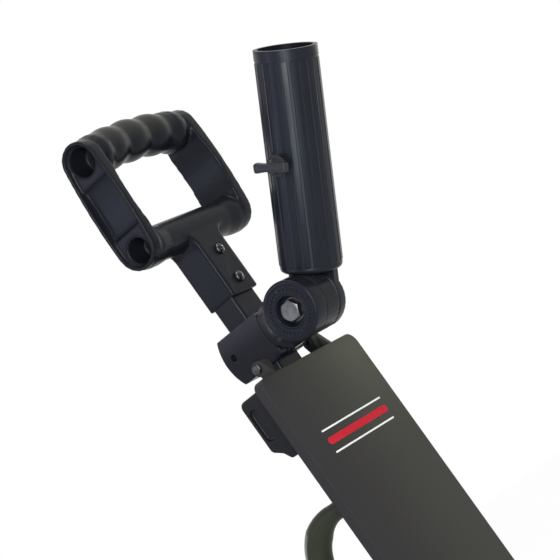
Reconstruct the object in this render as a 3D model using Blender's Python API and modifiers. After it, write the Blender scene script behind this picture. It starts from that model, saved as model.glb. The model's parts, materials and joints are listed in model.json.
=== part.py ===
"""Handle head of a golf trolley, modelled in metres with +Z up along the shaft.

A D-shaped hand grip sits on a rectangular shaft. A clamp on the shaft carries a tilting
umbrella holder, and a scorecard tray with a hinged lid is screwed to the shaft below it.
The origin is the centre of the shaft's lower end. The lid faces -Y.
"""

import math

import bmesh
import bpy
from mathutils import Matrix, Vector

# Gaps
CLEARANCE = 0.0003
RUNNING_GAP = 0.0004

# Rectangular shaft tube
SHAFT_WIDTH = 0.028
SHAFT_DEPTH = 0.0186
SHAFT_WALL = 0.0015
SHAFT_CORNER = 0.0022
SHAFT_RUN = 0.267
PLUG_FLANGE = 0.002
PLUG_LENGTH = 0.018

# Clamp on the shaft, with the barrel that carries the umbrella holder
CLAMP_HEIGHT = 0.0335
CLAMP_SIDE_WALL = 0.0042
CLAMP_BACK_WALL = 0.0093
CLAMP_BACK_BULGE = 0.0043
CLAMP_FRONT_WALL = 0.0100
CLAMP_EDGE = 0.0012
CLAMP_SLIT = 0.002
CLAMP_TOE = 0.0050
CLAMP_RELIEF = 0.0050
CLAMP_RELIEF_WALL = 0.003
CLAMP_SCREW_DIAMETER = 0.004
CLAMP_SCREW_HEAD = 0.007
CLAMP_SCREW_HEAD_HEIGHT = 0.0035
CLAMP_SCREW_SINK = 0.005
PIVOT_FORWARD = 0.0443
PIVOT_RISE = 0.0187
BARREL_DIAMETER = 0.041
BARREL_LENGTH = 0.0165
BARREL_LEFT = -0.008
WEB_SHOULDER = 0.0012
WEB_INSET = 0.0080
WEB_SHRINK = 0.0006
WEB_UNDERSIDE = 0.0004
SCOOP_GAP = 0.0078

# Pivot stack: front disc, bolt, washers and nut
DISC_THICKNESS = 0.0130
DISC_EDGE = 0.002
BOLT_DIAMETER = 0.008
BOLT_HEAD_ACROSS = 0.013
BOLT_HEAD_HEIGHT = 0.0053
BOLT_RECESS_DIAMETER = 0.0205
BOLT_THREAD_PAST_NUT = 0.0015
WASHER_DIAMETER = 0.016
WASHER_THICKNESS = 0.0016
FRICTION_WASHER_DIAMETER = 0.036
FRICTION_WASHER_THICKNESS = 0.0008
NUT_HEIGHT = 0.008

# Umbrella holder
TILT = math.radians(33.7)
HUB_DIAMETER = 0.0405
HUB_THICKNESS = 0.0083
HUB_EDGE = 0.0012
HOLDER_DIAMETER = 0.042
HOLDER_WALL = 0.0026
HOLDER_REACH = 0.166
HOLDER_FLOOR = 0.003
HOLDER_BOTTOM_LAP = 0.0002
HOLDER_BARREL_GAP = 0.0008
HOLDER_OFFSET = 0.0010
HOLDER_BOTTOM_ROUND = 0.003
HOLDER_COLLAR = 0.007
HOLDER_COLLAR_STEP = 0.0004
NECK_WIDTH = 0.034
DRAIN_DIAMETER = 0.006

# Thumb screw through the holder's wall
SCREW_REACH = 0.094
SCREW_DIAMETER = 0.006
SCREW_STANDOFF = 0.0125
BOSS_DIAMETER = 0.0125
BOSS_HEIGHT = 0.002
INSERT_WALL = 0.0011
INSERT_DEPTH = 0.0021
TEE_LENGTH = 0.025
TEE_THICKNESS = 0.0066
TEE_EDGE = 0.0015
TEE_HUB_DIAMETER = 0.009
TEE_HUB_LENGTH = 0.004
PAD_DIAMETER = 0.010
PAD_THICKNESS = 0.0025
PAD_EDGE = 0.0006

# D-shaped handle
STEM_GAP = 0.0172
STEM_SIDE_WALL = 0.0011
STEM_FRONT_WALL = 0.0035
STEM_BACK_WALL = 0.0015
STEM_EDGE = 0.004
STEM_FLARE = 0.008
STEM_TO_BAR = 0.0555
SHAFT_IN_STEM = 0.040
BAR_SPACING = 0.0682
BAR_FORWARD = 0.0017
BAR_DIAMETER = 0.0245
BAR_BORE = 0.017
BAR_COLLAR = 0.0012
GRIP_FORWARD = 0.0050
GRIP_DIAMETER = 0.0284
GRIP_SWELL = 0.0009
GRIP_SCALLOP = 0.0005
GRIP_BOW = 0.0048
GRIP_BORE = 0.0195
FINGER_PITCH = 0.022
BORE_DEPTH = 0.022
HANDLE_WIDTH = 0.124
CHEEK_THICKNESS = 0.010
CHEEK_TOP_RADIUS = 0.0144
CHEEK_BOTTOM_RADIUS = 0.0153
CHEEK_LIFT = 0.0025
CHEEK_SPREAD = 0.0014
CHEEK_HOLLOW = 0.0028
CHEEK_RIM = 0.0026
CHEEK_POCKET = 0.0032
CHEEK_CORE = 0.0055
CHEEK_CORE_LOW = 0.18
CHEEK_CORE_HIGH = 0.76
CHEEK_EDGE = 0.0012
HANDLE_SCREW_HEIGHTS = (0.0105, 0.033)
HANDLE_SCREW_OFFSET = 0.0015

# Pan-head self-tapping screws
TAPPING_DIAMETER = 0.0035
TAPPING_HEAD = 0.0078
TAPPING_HEAD_HEIGHT = 0.0026
TAPPING_LENGTH = 0.010

# Scorecard tray and lid
TRAY_FLOOR = 0.0016
TRAY_DEPTH = 0.0075
TRAY_WALL = 0.0018
TRAY_CORNER = 0.007
TRAY_END_MARGIN = 0.0024
TRAY_SIDE_MARGIN = 0.006
LID_WIDTH = 0.124
LID_LENGTH = 0.200
LID_DEPTH = 0.0078
LID_WALL = 0.002
LID_GAP = 0.0007
LID_CORNER = 0.008
LID_EDGE = 0.003
LID_DROP = 0.0077

# Lid hinge
HINGE_BEHIND = 0.0115
HINGE_RISE = 0.0006
LUG_RADIUS = 0.005
LUG_INSET = 0.0254
LUG_THICKNESS = 0.0034
TRAY_LUG_WIDTH = 0.0065
PIN_DIAMETER = 0.0038
PIN_HEAD_DIAMETER = 0.0066
PIN_HEAD_HEIGHT = 0.0018
PIN_HEAD_EDGE = 0.0007

# Saddle that clamps the tray to the shaft
SADDLE_SIDE_WALL = 0.0067
SADDLE_LENGTH = 0.040
SADDLE_BACK = 0.0221
SADDLE_DROP = 0.008
SADDLE_ROUND = 0.004
SADDLE_LIP = 0.009
SADDLE_LIP_STEP = 0.0073
SADDLE_EDGE = 0.001
RECESS_LENGTH = 0.024
RECESS_WIDTH = 0.008
RECESS_DEPTH = 0.003
RECESS_FROM_BACK = 0.0064
SADDLE_SCREW_INSET = 0.0115

# Strut elbow on the back of the shaft
STRUT_DROP = 0.101
STRUT_BASE_LENGTH = 0.046
STRUT_BASE_THICKNESS = 0.005
STRUT_ROOT_RADIUS = 0.0058
STRUT_RADIUS = 0.0095
STRUT_STRAIGHT = 0.024
STRUT_BEND_RADIUS = 0.034
STRUT_BEND = math.radians(62)
STRUT_TAIL = 0.014
STRUT_SCREW_INSET = 0.006

# Facet counts and mesh tolerances
ROUND_STEPS = 36
BORE_STEPS = 24
SMALL_STEPS = 10
BELT_STEPS = 9
ARC_STEPS = 8
CORNER_STEPS = 4
LARGE_CORNER_STEPS = 6
TUBE_RESOLUTION = 6
GRIP_STATIONS = 43
BEND_STEPS = 9
WELD = 0.000001
SHARP_ANGLE = math.radians(35)
BEVEL_ANGLE = math.radians(50)

# Places that follow from the sizes above
SHAFT_FRONT = -SHAFT_DEPTH / 2
SHAFT_BACK = SHAFT_DEPTH / 2
CLAMP_BASE = SHAFT_RUN
CLAMP_TOP = CLAMP_BASE + CLAMP_HEIGHT
PIVOT_Y = -PIVOT_FORWARD
PIVOT_Z = CLAMP_BASE + PIVOT_RISE
BARREL_RIGHT = BARREL_LEFT + BARREL_LENGTH
HUB_LEFT = BARREL_RIGHT + FRICTION_WASHER_THICKNESS + 2 * CLEARANCE
HUB_RIGHT = HUB_LEFT + HUB_THICKNESS
HOLDER_X = (HUB_LEFT + HUB_RIGHT) / 2 - HOLDER_OFFSET
HOLDER_BOTTOM = HUB_DIAMETER / 2 - HOLDER_BOTTOM_LAP
HOLDER_INNER = HOLDER_DIAMETER / 2 - HOLDER_WALL
STEM_BASE = CLAMP_TOP + STEM_GAP
SHAFT_TOP = STEM_BASE + SHAFT_IN_STEM
BAR_Z = STEM_BASE + STEM_TO_BAR
GRIP_Z = BAR_Z + BAR_SPACING
CHEEK_FOOT_Z = BAR_Z + CHEEK_LIFT
TRAY_BASE_Y = SHAFT_FRONT - CLEARANCE
TRAY_FLOOR_Y = TRAY_BASE_Y - TRAY_FLOOR
TRAY_RIM_Y = TRAY_FLOOR_Y - TRAY_DEPTH
LID_TOP_Y = TRAY_RIM_Y - LID_GAP - LID_WALL
LID_RIM_Y = LID_TOP_Y + LID_DEPTH
LID_TOP_Z = CLAMP_BASE - LID_DROP
LID_MID_Z = LID_TOP_Z - LID_LENGTH / 2
TRAY_LENGTH = LID_LENGTH - 2 * (LID_WALL + TRAY_END_MARGIN)
TRAY_WIDTH = LID_WIDTH - 2 * (LID_WALL + TRAY_SIDE_MARGIN)
HINGE_Y = LID_TOP_Y + HINGE_BEHIND
HINGE_Z = CLAMP_BASE + HINGE_RISE
LUG_SPACING = LID_WIDTH - 2 * LUG_INSET
SADDLE_TOP = CLAMP_BASE - SADDLE_DROP
SADDLE_BASE = SADDLE_TOP - SADDLE_LENGTH
SADDLE_HALF = SHAFT_WIDTH / 2 + CLEARANCE + SADDLE_SIDE_WALL
SADDLE_BACK_Y = SHAFT_BACK + CLEARANCE + SADDLE_BACK
STRUT_Z = CLAMP_BASE - STRUT_DROP

for old_object in list(bpy.data.objects):
    bpy.data.objects.remove(old_object, do_unlink=True)


def collection(name):
    """A collection of this name, linked to the scene."""
    group = bpy.data.collections.new(name)
    bpy.context.scene.collection.children.link(group)
    return group


PARTS = collection("golf_trolley_handle_head")
CUTTERS = collection("cutters")

# Finishes: base colour, roughness, metallic
SATIN_PAINT = ((0.020, 0.020, 0.022), 0.42, 0.0)
MOULDED_BLACK = ((0.022, 0.023, 0.024), 0.48, 0.0)
CHARCOAL = ((0.045, 0.046, 0.044), 0.55, 0.0)
GLOSS_BLACK = ((0.012, 0.012, 0.013), 0.22, 0.0)
ZINC = ((0.55, 0.55, 0.57), 0.35, 1.0)
BLACK_STEEL = ((0.050, 0.050, 0.055), 0.38, 1.0)
BRASS = ((0.60, 0.45, 0.20), 0.35, 1.0)
FIBRE = ((0.035, 0.033, 0.030), 0.80, 0.0)


def link(name, mesh, parent=None, location=(0, 0, 0)):
    """Make an object of a mesh in the parts' collection."""
    part = bpy.data.objects.new(name, mesh)
    PARTS.objects.link(part)
    part.parent = parent
    part.location = location
    return part


def finish(part, look):
    """Give a part a material of its own and smooth shading with sharp corners kept."""
    colour, roughness, metallic = look
    material = bpy.data.materials.new(part.name + "_finish")
    material.use_nodes = True
    shader = material.node_tree.nodes["Principled BSDF"]
    shader.inputs["Base Color"].default_value = (*colour, 1.0)
    shader.inputs["Roughness"].default_value = roughness
    shader.inputs["Metallic"].default_value = metallic
    part.data.materials.append(material)
    part.data.shade_smooth()
    part.data.set_sharp_from_angle(angle=SHARP_ANGLE)
    return part


def mesh_from(bm, name):
    """Turn a bmesh into a mesh whose faces point out."""
    bmesh.ops.remove_doubles(bm, verts=bm.verts, dist=WELD)
    bmesh.ops.recalc_face_normals(bm, faces=bm.faces)
    mesh = bpy.data.meshes.new(name)
    bm.to_mesh(mesh)
    bm.free()
    return mesh


def baked(source, name, matrix=None):
    """The evaluated mesh of an object, welded and moved by a matrix; the object is removed."""
    bpy.context.view_layer.update()
    evaluated = source.evaluated_get(bpy.context.evaluated_depsgraph_get())
    mesh = bpy.data.meshes.new_from_object(evaluated)
    bm = bmesh.new()
    bm.from_mesh(mesh)
    bpy.data.meshes.remove(mesh)
    if matrix is not None:
        bmesh.ops.transform(bm, matrix=matrix, verts=bm.verts)
    bpy.data.objects.remove(source, do_unlink=True)
    return mesh_from(bm, name)


def box(name, low, high, parent=None):
    """A box between two corners."""
    low = Vector(low)
    high = Vector(high)
    bm = bmesh.new()
    bmesh.ops.create_cube(bm, size=1.0)
    size = Matrix.Diagonal((*(high - low), 1.0))
    bmesh.ops.transform(bm, matrix=Matrix.Translation((low + high) / 2) @ size, verts=bm.verts)
    return link(name, mesh_from(bm, name), parent)


def along(start, end):
    """The matrix that takes +Z at the origin to the line from start to end."""
    start = Vector(start)
    direction = Vector(end) - start
    return Matrix.Translation(start) @ direction.to_track_quat("Z", "Y").to_matrix().to_4x4()


def rod(name, radius, start, end, sides=ROUND_STEPS, parent=None):
    """A cylinder between two points."""
    length = (Vector(end) - Vector(start)).length
    bm = bmesh.new()
    bmesh.ops.create_cone(bm, cap_ends=True, segments=sides, radius1=radius, radius2=radius, depth=length)
    lift = Matrix.Translation((0, 0, length / 2))
    bmesh.ops.transform(bm, matrix=along(start, end) @ lift, verts=bm.verts)
    return link(name, mesh_from(bm, name), parent)


def turned(name, profile, start, end, steps=ROUND_STEPS, parent=None):
    """A profile of (radius, height) points, spun about the line from start towards end."""
    mesh = bpy.data.meshes.new(name)
    points = [(radius, 0, height) for radius, height in profile]
    edges = [(i, i + 1) for i in range(len(points) - 1)]
    mesh.from_pydata(points, edges, [])
    source = link(name + "_profile", mesh)
    spin = source.modifiers.new("spin", "SCREW")
    spin.steps = steps
    spin.render_steps = steps
    spin.use_merge_vertices = True
    spin.merge_threshold = WELD
    return link(name, baked(source, name, along(start, end)), parent)


# Axes of a flat outline: where its own X, Y and thickness directions point
ACROSS_X = Matrix(((0, 0, 1, 0), (1, 0, 0, 0), (0, 1, 0, 0), (0, 0, 0, 1)))
ACROSS_Y = Matrix(((1, 0, 0, 0), (0, 0, -1, 0), (0, 1, 0, 0), (0, 0, 0, 1)))
ACROSS_Z = Matrix.Identity(4)


def plate(name, outline, axes, low, high, parent=None):
    """A flat outline, given thickness from low to high across its plane."""
    curve = bpy.data.curves.new(name, "CURVE")
    curve.dimensions = "2D"
    curve.fill_mode = "BOTH"
    curve.extrude = abs(high - low) / 2
    spline = curve.splines.new("POLY")
    spline.points.add(len(outline) - 1)
    for point, (u, v) in zip(spline.points, outline):
        point.co = (u, v, 0, 1)
    spline.use_cyclic_u = True
    source = bpy.data.objects.new(name + "_outline", curve)
    PARTS.objects.link(source)
    normal = axes.to_3x3() @ Vector((0, 0, 1))
    middle = (low + high) / 2
    shift = Vector((abs(normal.x), abs(normal.y), abs(normal.z))) * middle
    return link(name, baked(source, name, Matrix.Translation(shift) @ axes), parent)


def arc(centre, radius, first, last, steps=ARC_STEPS):
    """Points on an arc between two angles in degrees, both ends included."""
    points = []
    for i in range(steps + 1):
        angle = math.radians(first + (last - first) * i / steps)
        points.append((centre[0] + radius * math.cos(angle), centre[1] + radius * math.sin(angle)))
    return points


def rounded_rectangle(width, height, radius, centre=(0, 0), steps=CORNER_STEPS):
    """The outline of a rectangle with round corners."""
    right = width / 2 - radius
    top = height / 2 - radius
    corners = ((right, top, 0), (-right, top, 90), (-right, -top, 180), (right, -top, 270))
    outline = []
    for u, v, first in corners:
        outline += arc((centre[0] + u, centre[1] + v), radius, first, first + 90, steps)
    return outline


def round_hull(circles, steps=ARC_STEPS):
    """The outline of a belt drawn round circles (u, v, radius), listed anticlockwise."""
    outline = []
    count = len(circles)
    headings = []
    for i, (u, v, radius) in enumerate(circles):
        next_u, next_v, next_radius = circles[(i + 1) % count]
        span = math.hypot(next_u - u, next_v - v)
        turn = math.acos((radius - next_radius) / span)
        headings.append(math.degrees(math.atan2(next_v - v, next_u - u) - turn))
    for i, (u, v, radius) in enumerate(circles):
        first = headings[i - 1]
        last = headings[i]
        while last < first:
            last += 360
        outline += arc((u, v), radius, first, last, steps)
    return outline


def round_edges(part, width, segments=2):
    """Round a part's sharp edges."""
    bevel = part.modifiers.new("round", "BEVEL")
    bevel.width = width
    bevel.segments = segments
    bevel.limit_method = "ANGLE"
    bevel.angle_limit = BEVEL_ANGLE
    return part


def boolean(part, tools, operation, solver):
    """Join tools to a part or cut them from it; the tools stay as wire guides."""
    for tool in tools:
        step = part.modifiers.new(operation.lower() + "_" + tool.name, "BOOLEAN")
        step.operation = operation
        step.solver = solver
        step.object = tool
        tool.hide_render = True
        tool.display_type = "WIRE"
        PARTS.objects.unlink(tool)
        CUTTERS.objects.link(tool)
    return part


def join(part, *tools, solver="EXACT"):
    return boolean(part, tools, "UNION", solver)


def cut(part, *tools, solver="EXACT"):
    return boolean(part, tools, "DIFFERENCE", solver)


def empty(name, location, rotation=(0, 0, 0), parent=None):
    """An empty that marks a joint's axis."""
    marker = bpy.data.objects.new(name, None)
    PARTS.objects.link(marker)
    marker.parent = parent
    marker.location = location
    marker.rotation_euler = rotation
    return marker


def shaft_outline(grow=0.0):
    """The shaft's outer outline, grown on all sides."""
    return rounded_rectangle(SHAFT_WIDTH + 2 * grow, SHAFT_DEPTH + 2 * grow, SHAFT_CORNER + grow)


def shaft_passage(name, low, high):
    """A cutter for the shaft's passage through a moulding."""
    return plate(name, shaft_outline(CLEARANCE), ACROSS_Z, low, high)


def pan_screw(name, seat, tip):
    """A pan-head tapping screw whose head sits on the point seat and whose shank ends at tip."""
    length = (Vector(tip) - Vector(seat)).length
    head = TAPPING_HEAD / 2
    crown = arc((0, 0), 1.0, 0, 90, CORNER_STEPS)
    profile = [(head * u, -CLEARANCE - TAPPING_HEAD_HEIGHT * v) for u, v in reversed(crown)]
    profile += [(TAPPING_DIAMETER / 2, -CLEARANCE), (TAPPING_DIAMETER / 2, length - TAPPING_DIAMETER / 2)]
    profile += [(0, length)]
    return finish(turned(name, profile, seat, tip, SMALL_STEPS), BLACK_STEEL)


def screw_hole(name, seat, tip):
    """A cutter for the clearance hole of a tapping screw."""
    start = Vector(seat)
    end = Vector(tip)
    spare = (end - start).normalized() * TAPPING_HEAD_HEIGHT / 2
    return rod(name, TAPPING_DIAMETER / 2 + CLEARANCE, start - spare, end + spare, SMALL_STEPS)


def handle_screw_line(height):
    """Seat and tip of a screw that goes through the stem's front wall into the shaft."""
    seat = Vector((HANDLE_SCREW_OFFSET, SHAFT_FRONT - CLEARANCE - STEM_FRONT_WALL, STEM_BASE + height))
    return seat, seat + Vector((0, TAPPING_LENGTH, 0))


def strut_screw_line(side):
    """Seat and tip of a screw that holds the strut elbow's base to the shaft."""
    inset = STRUT_BASE_LENGTH / 2 - STRUT_SCREW_INSET
    seat = Vector((0, SHAFT_BACK + CLEARANCE + STRUT_BASE_THICKNESS, STRUT_Z + side * inset))
    return seat, seat - Vector((0, TAPPING_LENGTH, 0))


def saddle_screw_line(side, end):
    """Seat and tip of a screw that goes through the tray's floor into the saddle's arm."""
    x = side * (SADDLE_HALF - SADDLE_SIDE_WALL / 2)
    z = (SADDLE_TOP + SADDLE_BASE) / 2 + end * (SADDLE_LENGTH / 2 - SADDLE_SCREW_INSET)
    seat = Vector((x, TRAY_FLOOR_Y, z))
    return seat, seat + Vector((0, TAPPING_LENGTH, 0))


HANDLE_SCREWS = [handle_screw_line(height) for height in HANDLE_SCREW_HEIGHTS]
STRUT_SCREWS = [strut_screw_line(side) for side in (1, -1)]
SADDLE_SCREWS = [saddle_screw_line(side, end) for side in (-1, 1) for end in (1, -1)]


def make_shaft():
    """Rectangular steel tube, drilled for the screws, with a plug in its lower end."""
    tube = plate("shaft_tube", shaft_outline(), ACROSS_Z, PLUG_FLANGE + CLEARANCE, SHAFT_TOP)
    bore = plate("shaft_bore", shaft_outline(-SHAFT_WALL), ACROSS_Z, 0, SHAFT_TOP + SHAFT_WALL)
    holes = [screw_hole("shaft_hole", *line) for line in HANDLE_SCREWS + STRUT_SCREWS]
    finish(cut(tube, bore, *holes), SATIN_PAINT)
    plug = plate("shaft_end_plug", shaft_outline(), ACROSS_Z, 0, PLUG_FLANGE)
    inner = shaft_outline(-SHAFT_WALL - CLEARANCE)
    spigot = plate("plug_spigot", inner, ACROSS_Z, PLUG_FLANGE / 2, PLUG_FLANGE + PLUG_LENGTH)
    finish(join(plug, spigot), MOULDED_BLACK)


def cheek_side(side, place, shrink):
    """A point on the front (-1) or back (1) edge of a cheek, at a place from 0 (foot) to 1 (grip)."""
    forward = BAR_FORWARD + (GRIP_FORWARD - BAR_FORWARD) * place
    radius = CHEEK_BOTTOM_RADIUS + (CHEEK_TOP_RADIUS - CHEEK_BOTTOM_RADIUS) * place - shrink
    radius += CHEEK_SPREAD * 4 * place * (1 - place)
    return side * radius - forward, CHEEK_FOOT_Z + (GRIP_Z - CHEEK_FOOT_Z) * place


def cheek_edge(side, first, last, shrink):
    """Points along one edge of a cheek between two places."""
    step = (last - first) / LARGE_CORNER_STEPS
    return [cheek_side(side, first + step * i, shrink) for i in range(LARGE_CORNER_STEPS + 1)]


def cheek(name, inner_x, outer_x, shrink=0.0):
    """One side plate of the handle, or its pocket when shrunk."""
    outline = cheek_edge(1, 0, 1, shrink)[1:-1]
    outline += arc((-GRIP_FORWARD, GRIP_Z), CHEEK_TOP_RADIUS - shrink, 0, 180, BELT_STEPS)
    outline += cheek_edge(-1, 1, 0, shrink)[1:-1]
    outline += arc((-BAR_FORWARD, CHEEK_FOOT_Z), CHEEK_BOTTOM_RADIUS - shrink, 180, 360, BELT_STEPS)
    low, high = sorted((inner_x, outer_x))
    return plate(name, outline, ACROSS_X, low, high)


def cheek_core(name, inner_x, outer_x):
    """The deeper hollow in the middle of a cheek's pocket."""
    shrink = CHEEK_RIM + CLEARANCE
    outline = cheek_edge(1, CHEEK_CORE_LOW, CHEEK_CORE_HIGH, shrink)
    outline += cheek_edge(-1, CHEEK_CORE_HIGH, CHEEK_CORE_LOW, shrink)
    low, high = sorted((inner_x, outer_x))
    return plate(name, outline, ACROSS_X, low, high)


def cheek_hollow(name, side, inner_x):
    """A cutter that dishes a cheek's inner face between the bar and the grip."""
    low = BAR_Z + BAR_DIAMETER / 2
    high = GRIP_Z - GRIP_DIAMETER / 2
    chord = (high - low) / 2
    radius = (chord ** 2 + CHEEK_HOLLOW ** 2) / (2 * CHEEK_HOLLOW)
    spread = math.degrees(math.asin(chord / radius))
    centre = (inner_x + CHEEK_HOLLOW - radius, (low + high) / 2)
    outline = [(side * x, z) for x, z in arc(centre, radius, -spread, spread)]
    outline += [(0, high), (0, low)]
    depth = 2 * CHEEK_BOTTOM_RADIUS
    return plate(name, outline, ACROSS_Y, -depth, depth)


def grip_bar():
    """The hand grip: a bowed bar with a swell for each finger."""
    half = HANDLE_WIDTH / 2 - CHEEK_THICKNESS / 2
    curve = bpy.data.curves.new("grip", "CURVE")
    curve.dimensions = "3D"
    curve.bevel_depth = 1.0
    curve.bevel_resolution = TUBE_RESOLUTION
    curve.use_fill_caps = True
    spline = curve.splines.new("POLY")
    spline.points.add(GRIP_STATIONS - 1)
    for i, point in enumerate(spline.points):
        x = half * (2 * i / (GRIP_STATIONS - 1) - 1)
        wave = math.cos(2 * math.pi * x / FINGER_PITCH)
        rise = GRIP_BOW * (1 - (x / half) ** 2) - GRIP_SCALLOP * wave
        point.co = (x, -GRIP_FORWARD, GRIP_Z + rise, 1)
        point.radius = GRIP_DIAMETER / 2 + GRIP_SWELL * wave
    source = bpy.data.objects.new("grip_curve", curve)
    PARTS.objects.link(source)
    return link("grip", baked(source, "grip"))


def stem():
    """The stem, which flares out into the lower bar."""
    half = SHAFT_WIDTH / 2 + CLEARANCE + STEM_SIDE_WALL
    top = BAR_Z
    flare_z = top - BAR_DIAMETER / 4 - STEM_FLARE
    outline = [(-half, STEM_BASE), (half, STEM_BASE)]
    outline += arc((half + STEM_FLARE, flare_z), STEM_FLARE, 180, 90, CORNER_STEPS)
    outline += [(half + STEM_FLARE, top), (-half - STEM_FLARE, top)]
    outline += arc((-half - STEM_FLARE, flare_z), STEM_FLARE, 90, 0, CORNER_STEPS)
    front = SHAFT_FRONT - CLEARANCE - STEM_FRONT_WALL
    back = SHAFT_BACK + CLEARANCE + STEM_BACK_WALL
    body = plate("stem", outline, ACROSS_Y, front, back)
    weights = body.data.attributes.new("bevel_weight_edge", "FLOAT", "EDGE")
    for edge in body.data.edges:
        first, last = (body.data.vertices[i].co for i in edge.vertices)
        upright = max(first.z, last.z) > STEM_BASE + CLEARANCE
        weights.data[edge.index].value = float(upright and abs(first.y - last.y) < CLEARANCE)
    round_edges(body, STEM_EDGE).modifiers["round"].limit_method = "WEIGHT"
    return body


def make_handle():
    """D-shaped handle, one moulding with open-sided cheeks and cored bars."""
    handle = stem()
    handle.name = "d_handle"
    half = HANDLE_WIDTH / 2
    inside = half - CHEEK_THICKNESS
    middle = half - CHEEK_THICKNESS / 2
    bar_line = Vector((0, -BAR_FORWARD, BAR_Z))
    bar_radius = BAR_DIAMETER / 2
    across = Vector((1, 0, 0))
    collar = bar_radius + BAR_COLLAR
    length = 2 * middle
    bar_profile = [(0, length), (collar, length), (collar, length - CHEEK_THICKNESS)]
    bar_profile += [(bar_radius, length - 2 * CHEEK_THICKNESS), (bar_radius, 2 * CHEEK_THICKNESS)]
    bar_profile += [(collar, CHEEK_THICKNESS), (collar, 0), (0, 0)]
    bar_start = bar_line - across * middle
    bar = turned("lower_bar", bar_profile, bar_start, bar_line + across * middle, BORE_STEPS)
    solids = [bar, grip_bar()]
    cutters = [shaft_passage("handle_socket", STEM_BASE - STEM_EDGE, SHAFT_TOP + CLEARANCE)]
    for side in (-1, 1):
        side_plate = round_edges(cheek("cheek", side * inside, side * half), CHEEK_EDGE)
        cut(side_plate, cheek_hollow("cheek_hollow", side, inside), solver="MANIFOLD")
        solids.append(side_plate)
        cutters.append(cheek("pocket", side * (half - CHEEK_POCKET), side * (half + CHEEK_RIM), CHEEK_RIM))
        cutters.append(cheek_core("pocket_core", side * (half - CHEEK_CORE), side * half))
        grip_line = Vector((0, -GRIP_FORWARD, GRIP_Z))
        for line, bore in ((bar_line, BAR_BORE), (grip_line, GRIP_BORE)):
            mouth = line + across * side * half
            cutters.append(rod("bore", bore / 2, mouth, mouth - across * side * BORE_DEPTH, BORE_STEPS))
    cutters += [screw_hole("stem_hole", *line) for line in HANDLE_SCREWS]
    join(handle, *solids, solver="MANIFOLD")
    finish(cut(handle, *cutters, solver="MANIFOLD"), MOULDED_BLACK)
    for number, line in enumerate(HANDLE_SCREWS, 1):
        pan_screw(f"handle_screw_{number}", *line)


def clamp_block():
    """The block round the shaft, with its bulged back and toe cut clear of the lid."""
    half = SHAFT_WIDTH / 2 + CLEARANCE + CLAMP_SIDE_WALL
    back = SHAFT_BACK + CLEARANCE + CLAMP_BACK_WALL
    front = SHAFT_FRONT - CLEARANCE - CLAMP_FRONT_WALL
    chord = CLAMP_HEIGHT / 2
    bulge_radius = (chord ** 2 + CLAMP_BACK_BULGE ** 2) / (2 * CLAMP_BACK_BULGE)
    spread = math.degrees(math.asin(chord / bulge_radius))
    bulge_centre = (back + CLAMP_BACK_BULGE - bulge_radius, CLAMP_BASE + chord)
    outline = arc(bulge_centre, bulge_radius, -spread, spread, BELT_STEPS)
    outline += [(front + CLAMP_TOE / 2, CLAMP_TOP), (front, CLAMP_TOP - CLAMP_TOE / 2)]
    outline += arc((front + CLAMP_TOE, CLAMP_BASE + CLAMP_TOE), CLAMP_TOE, 180, 270, CORNER_STEPS)
    return round_edges(plate("clamp_body", outline, ACROSS_X, -half, half), CLAMP_EDGE)


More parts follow.
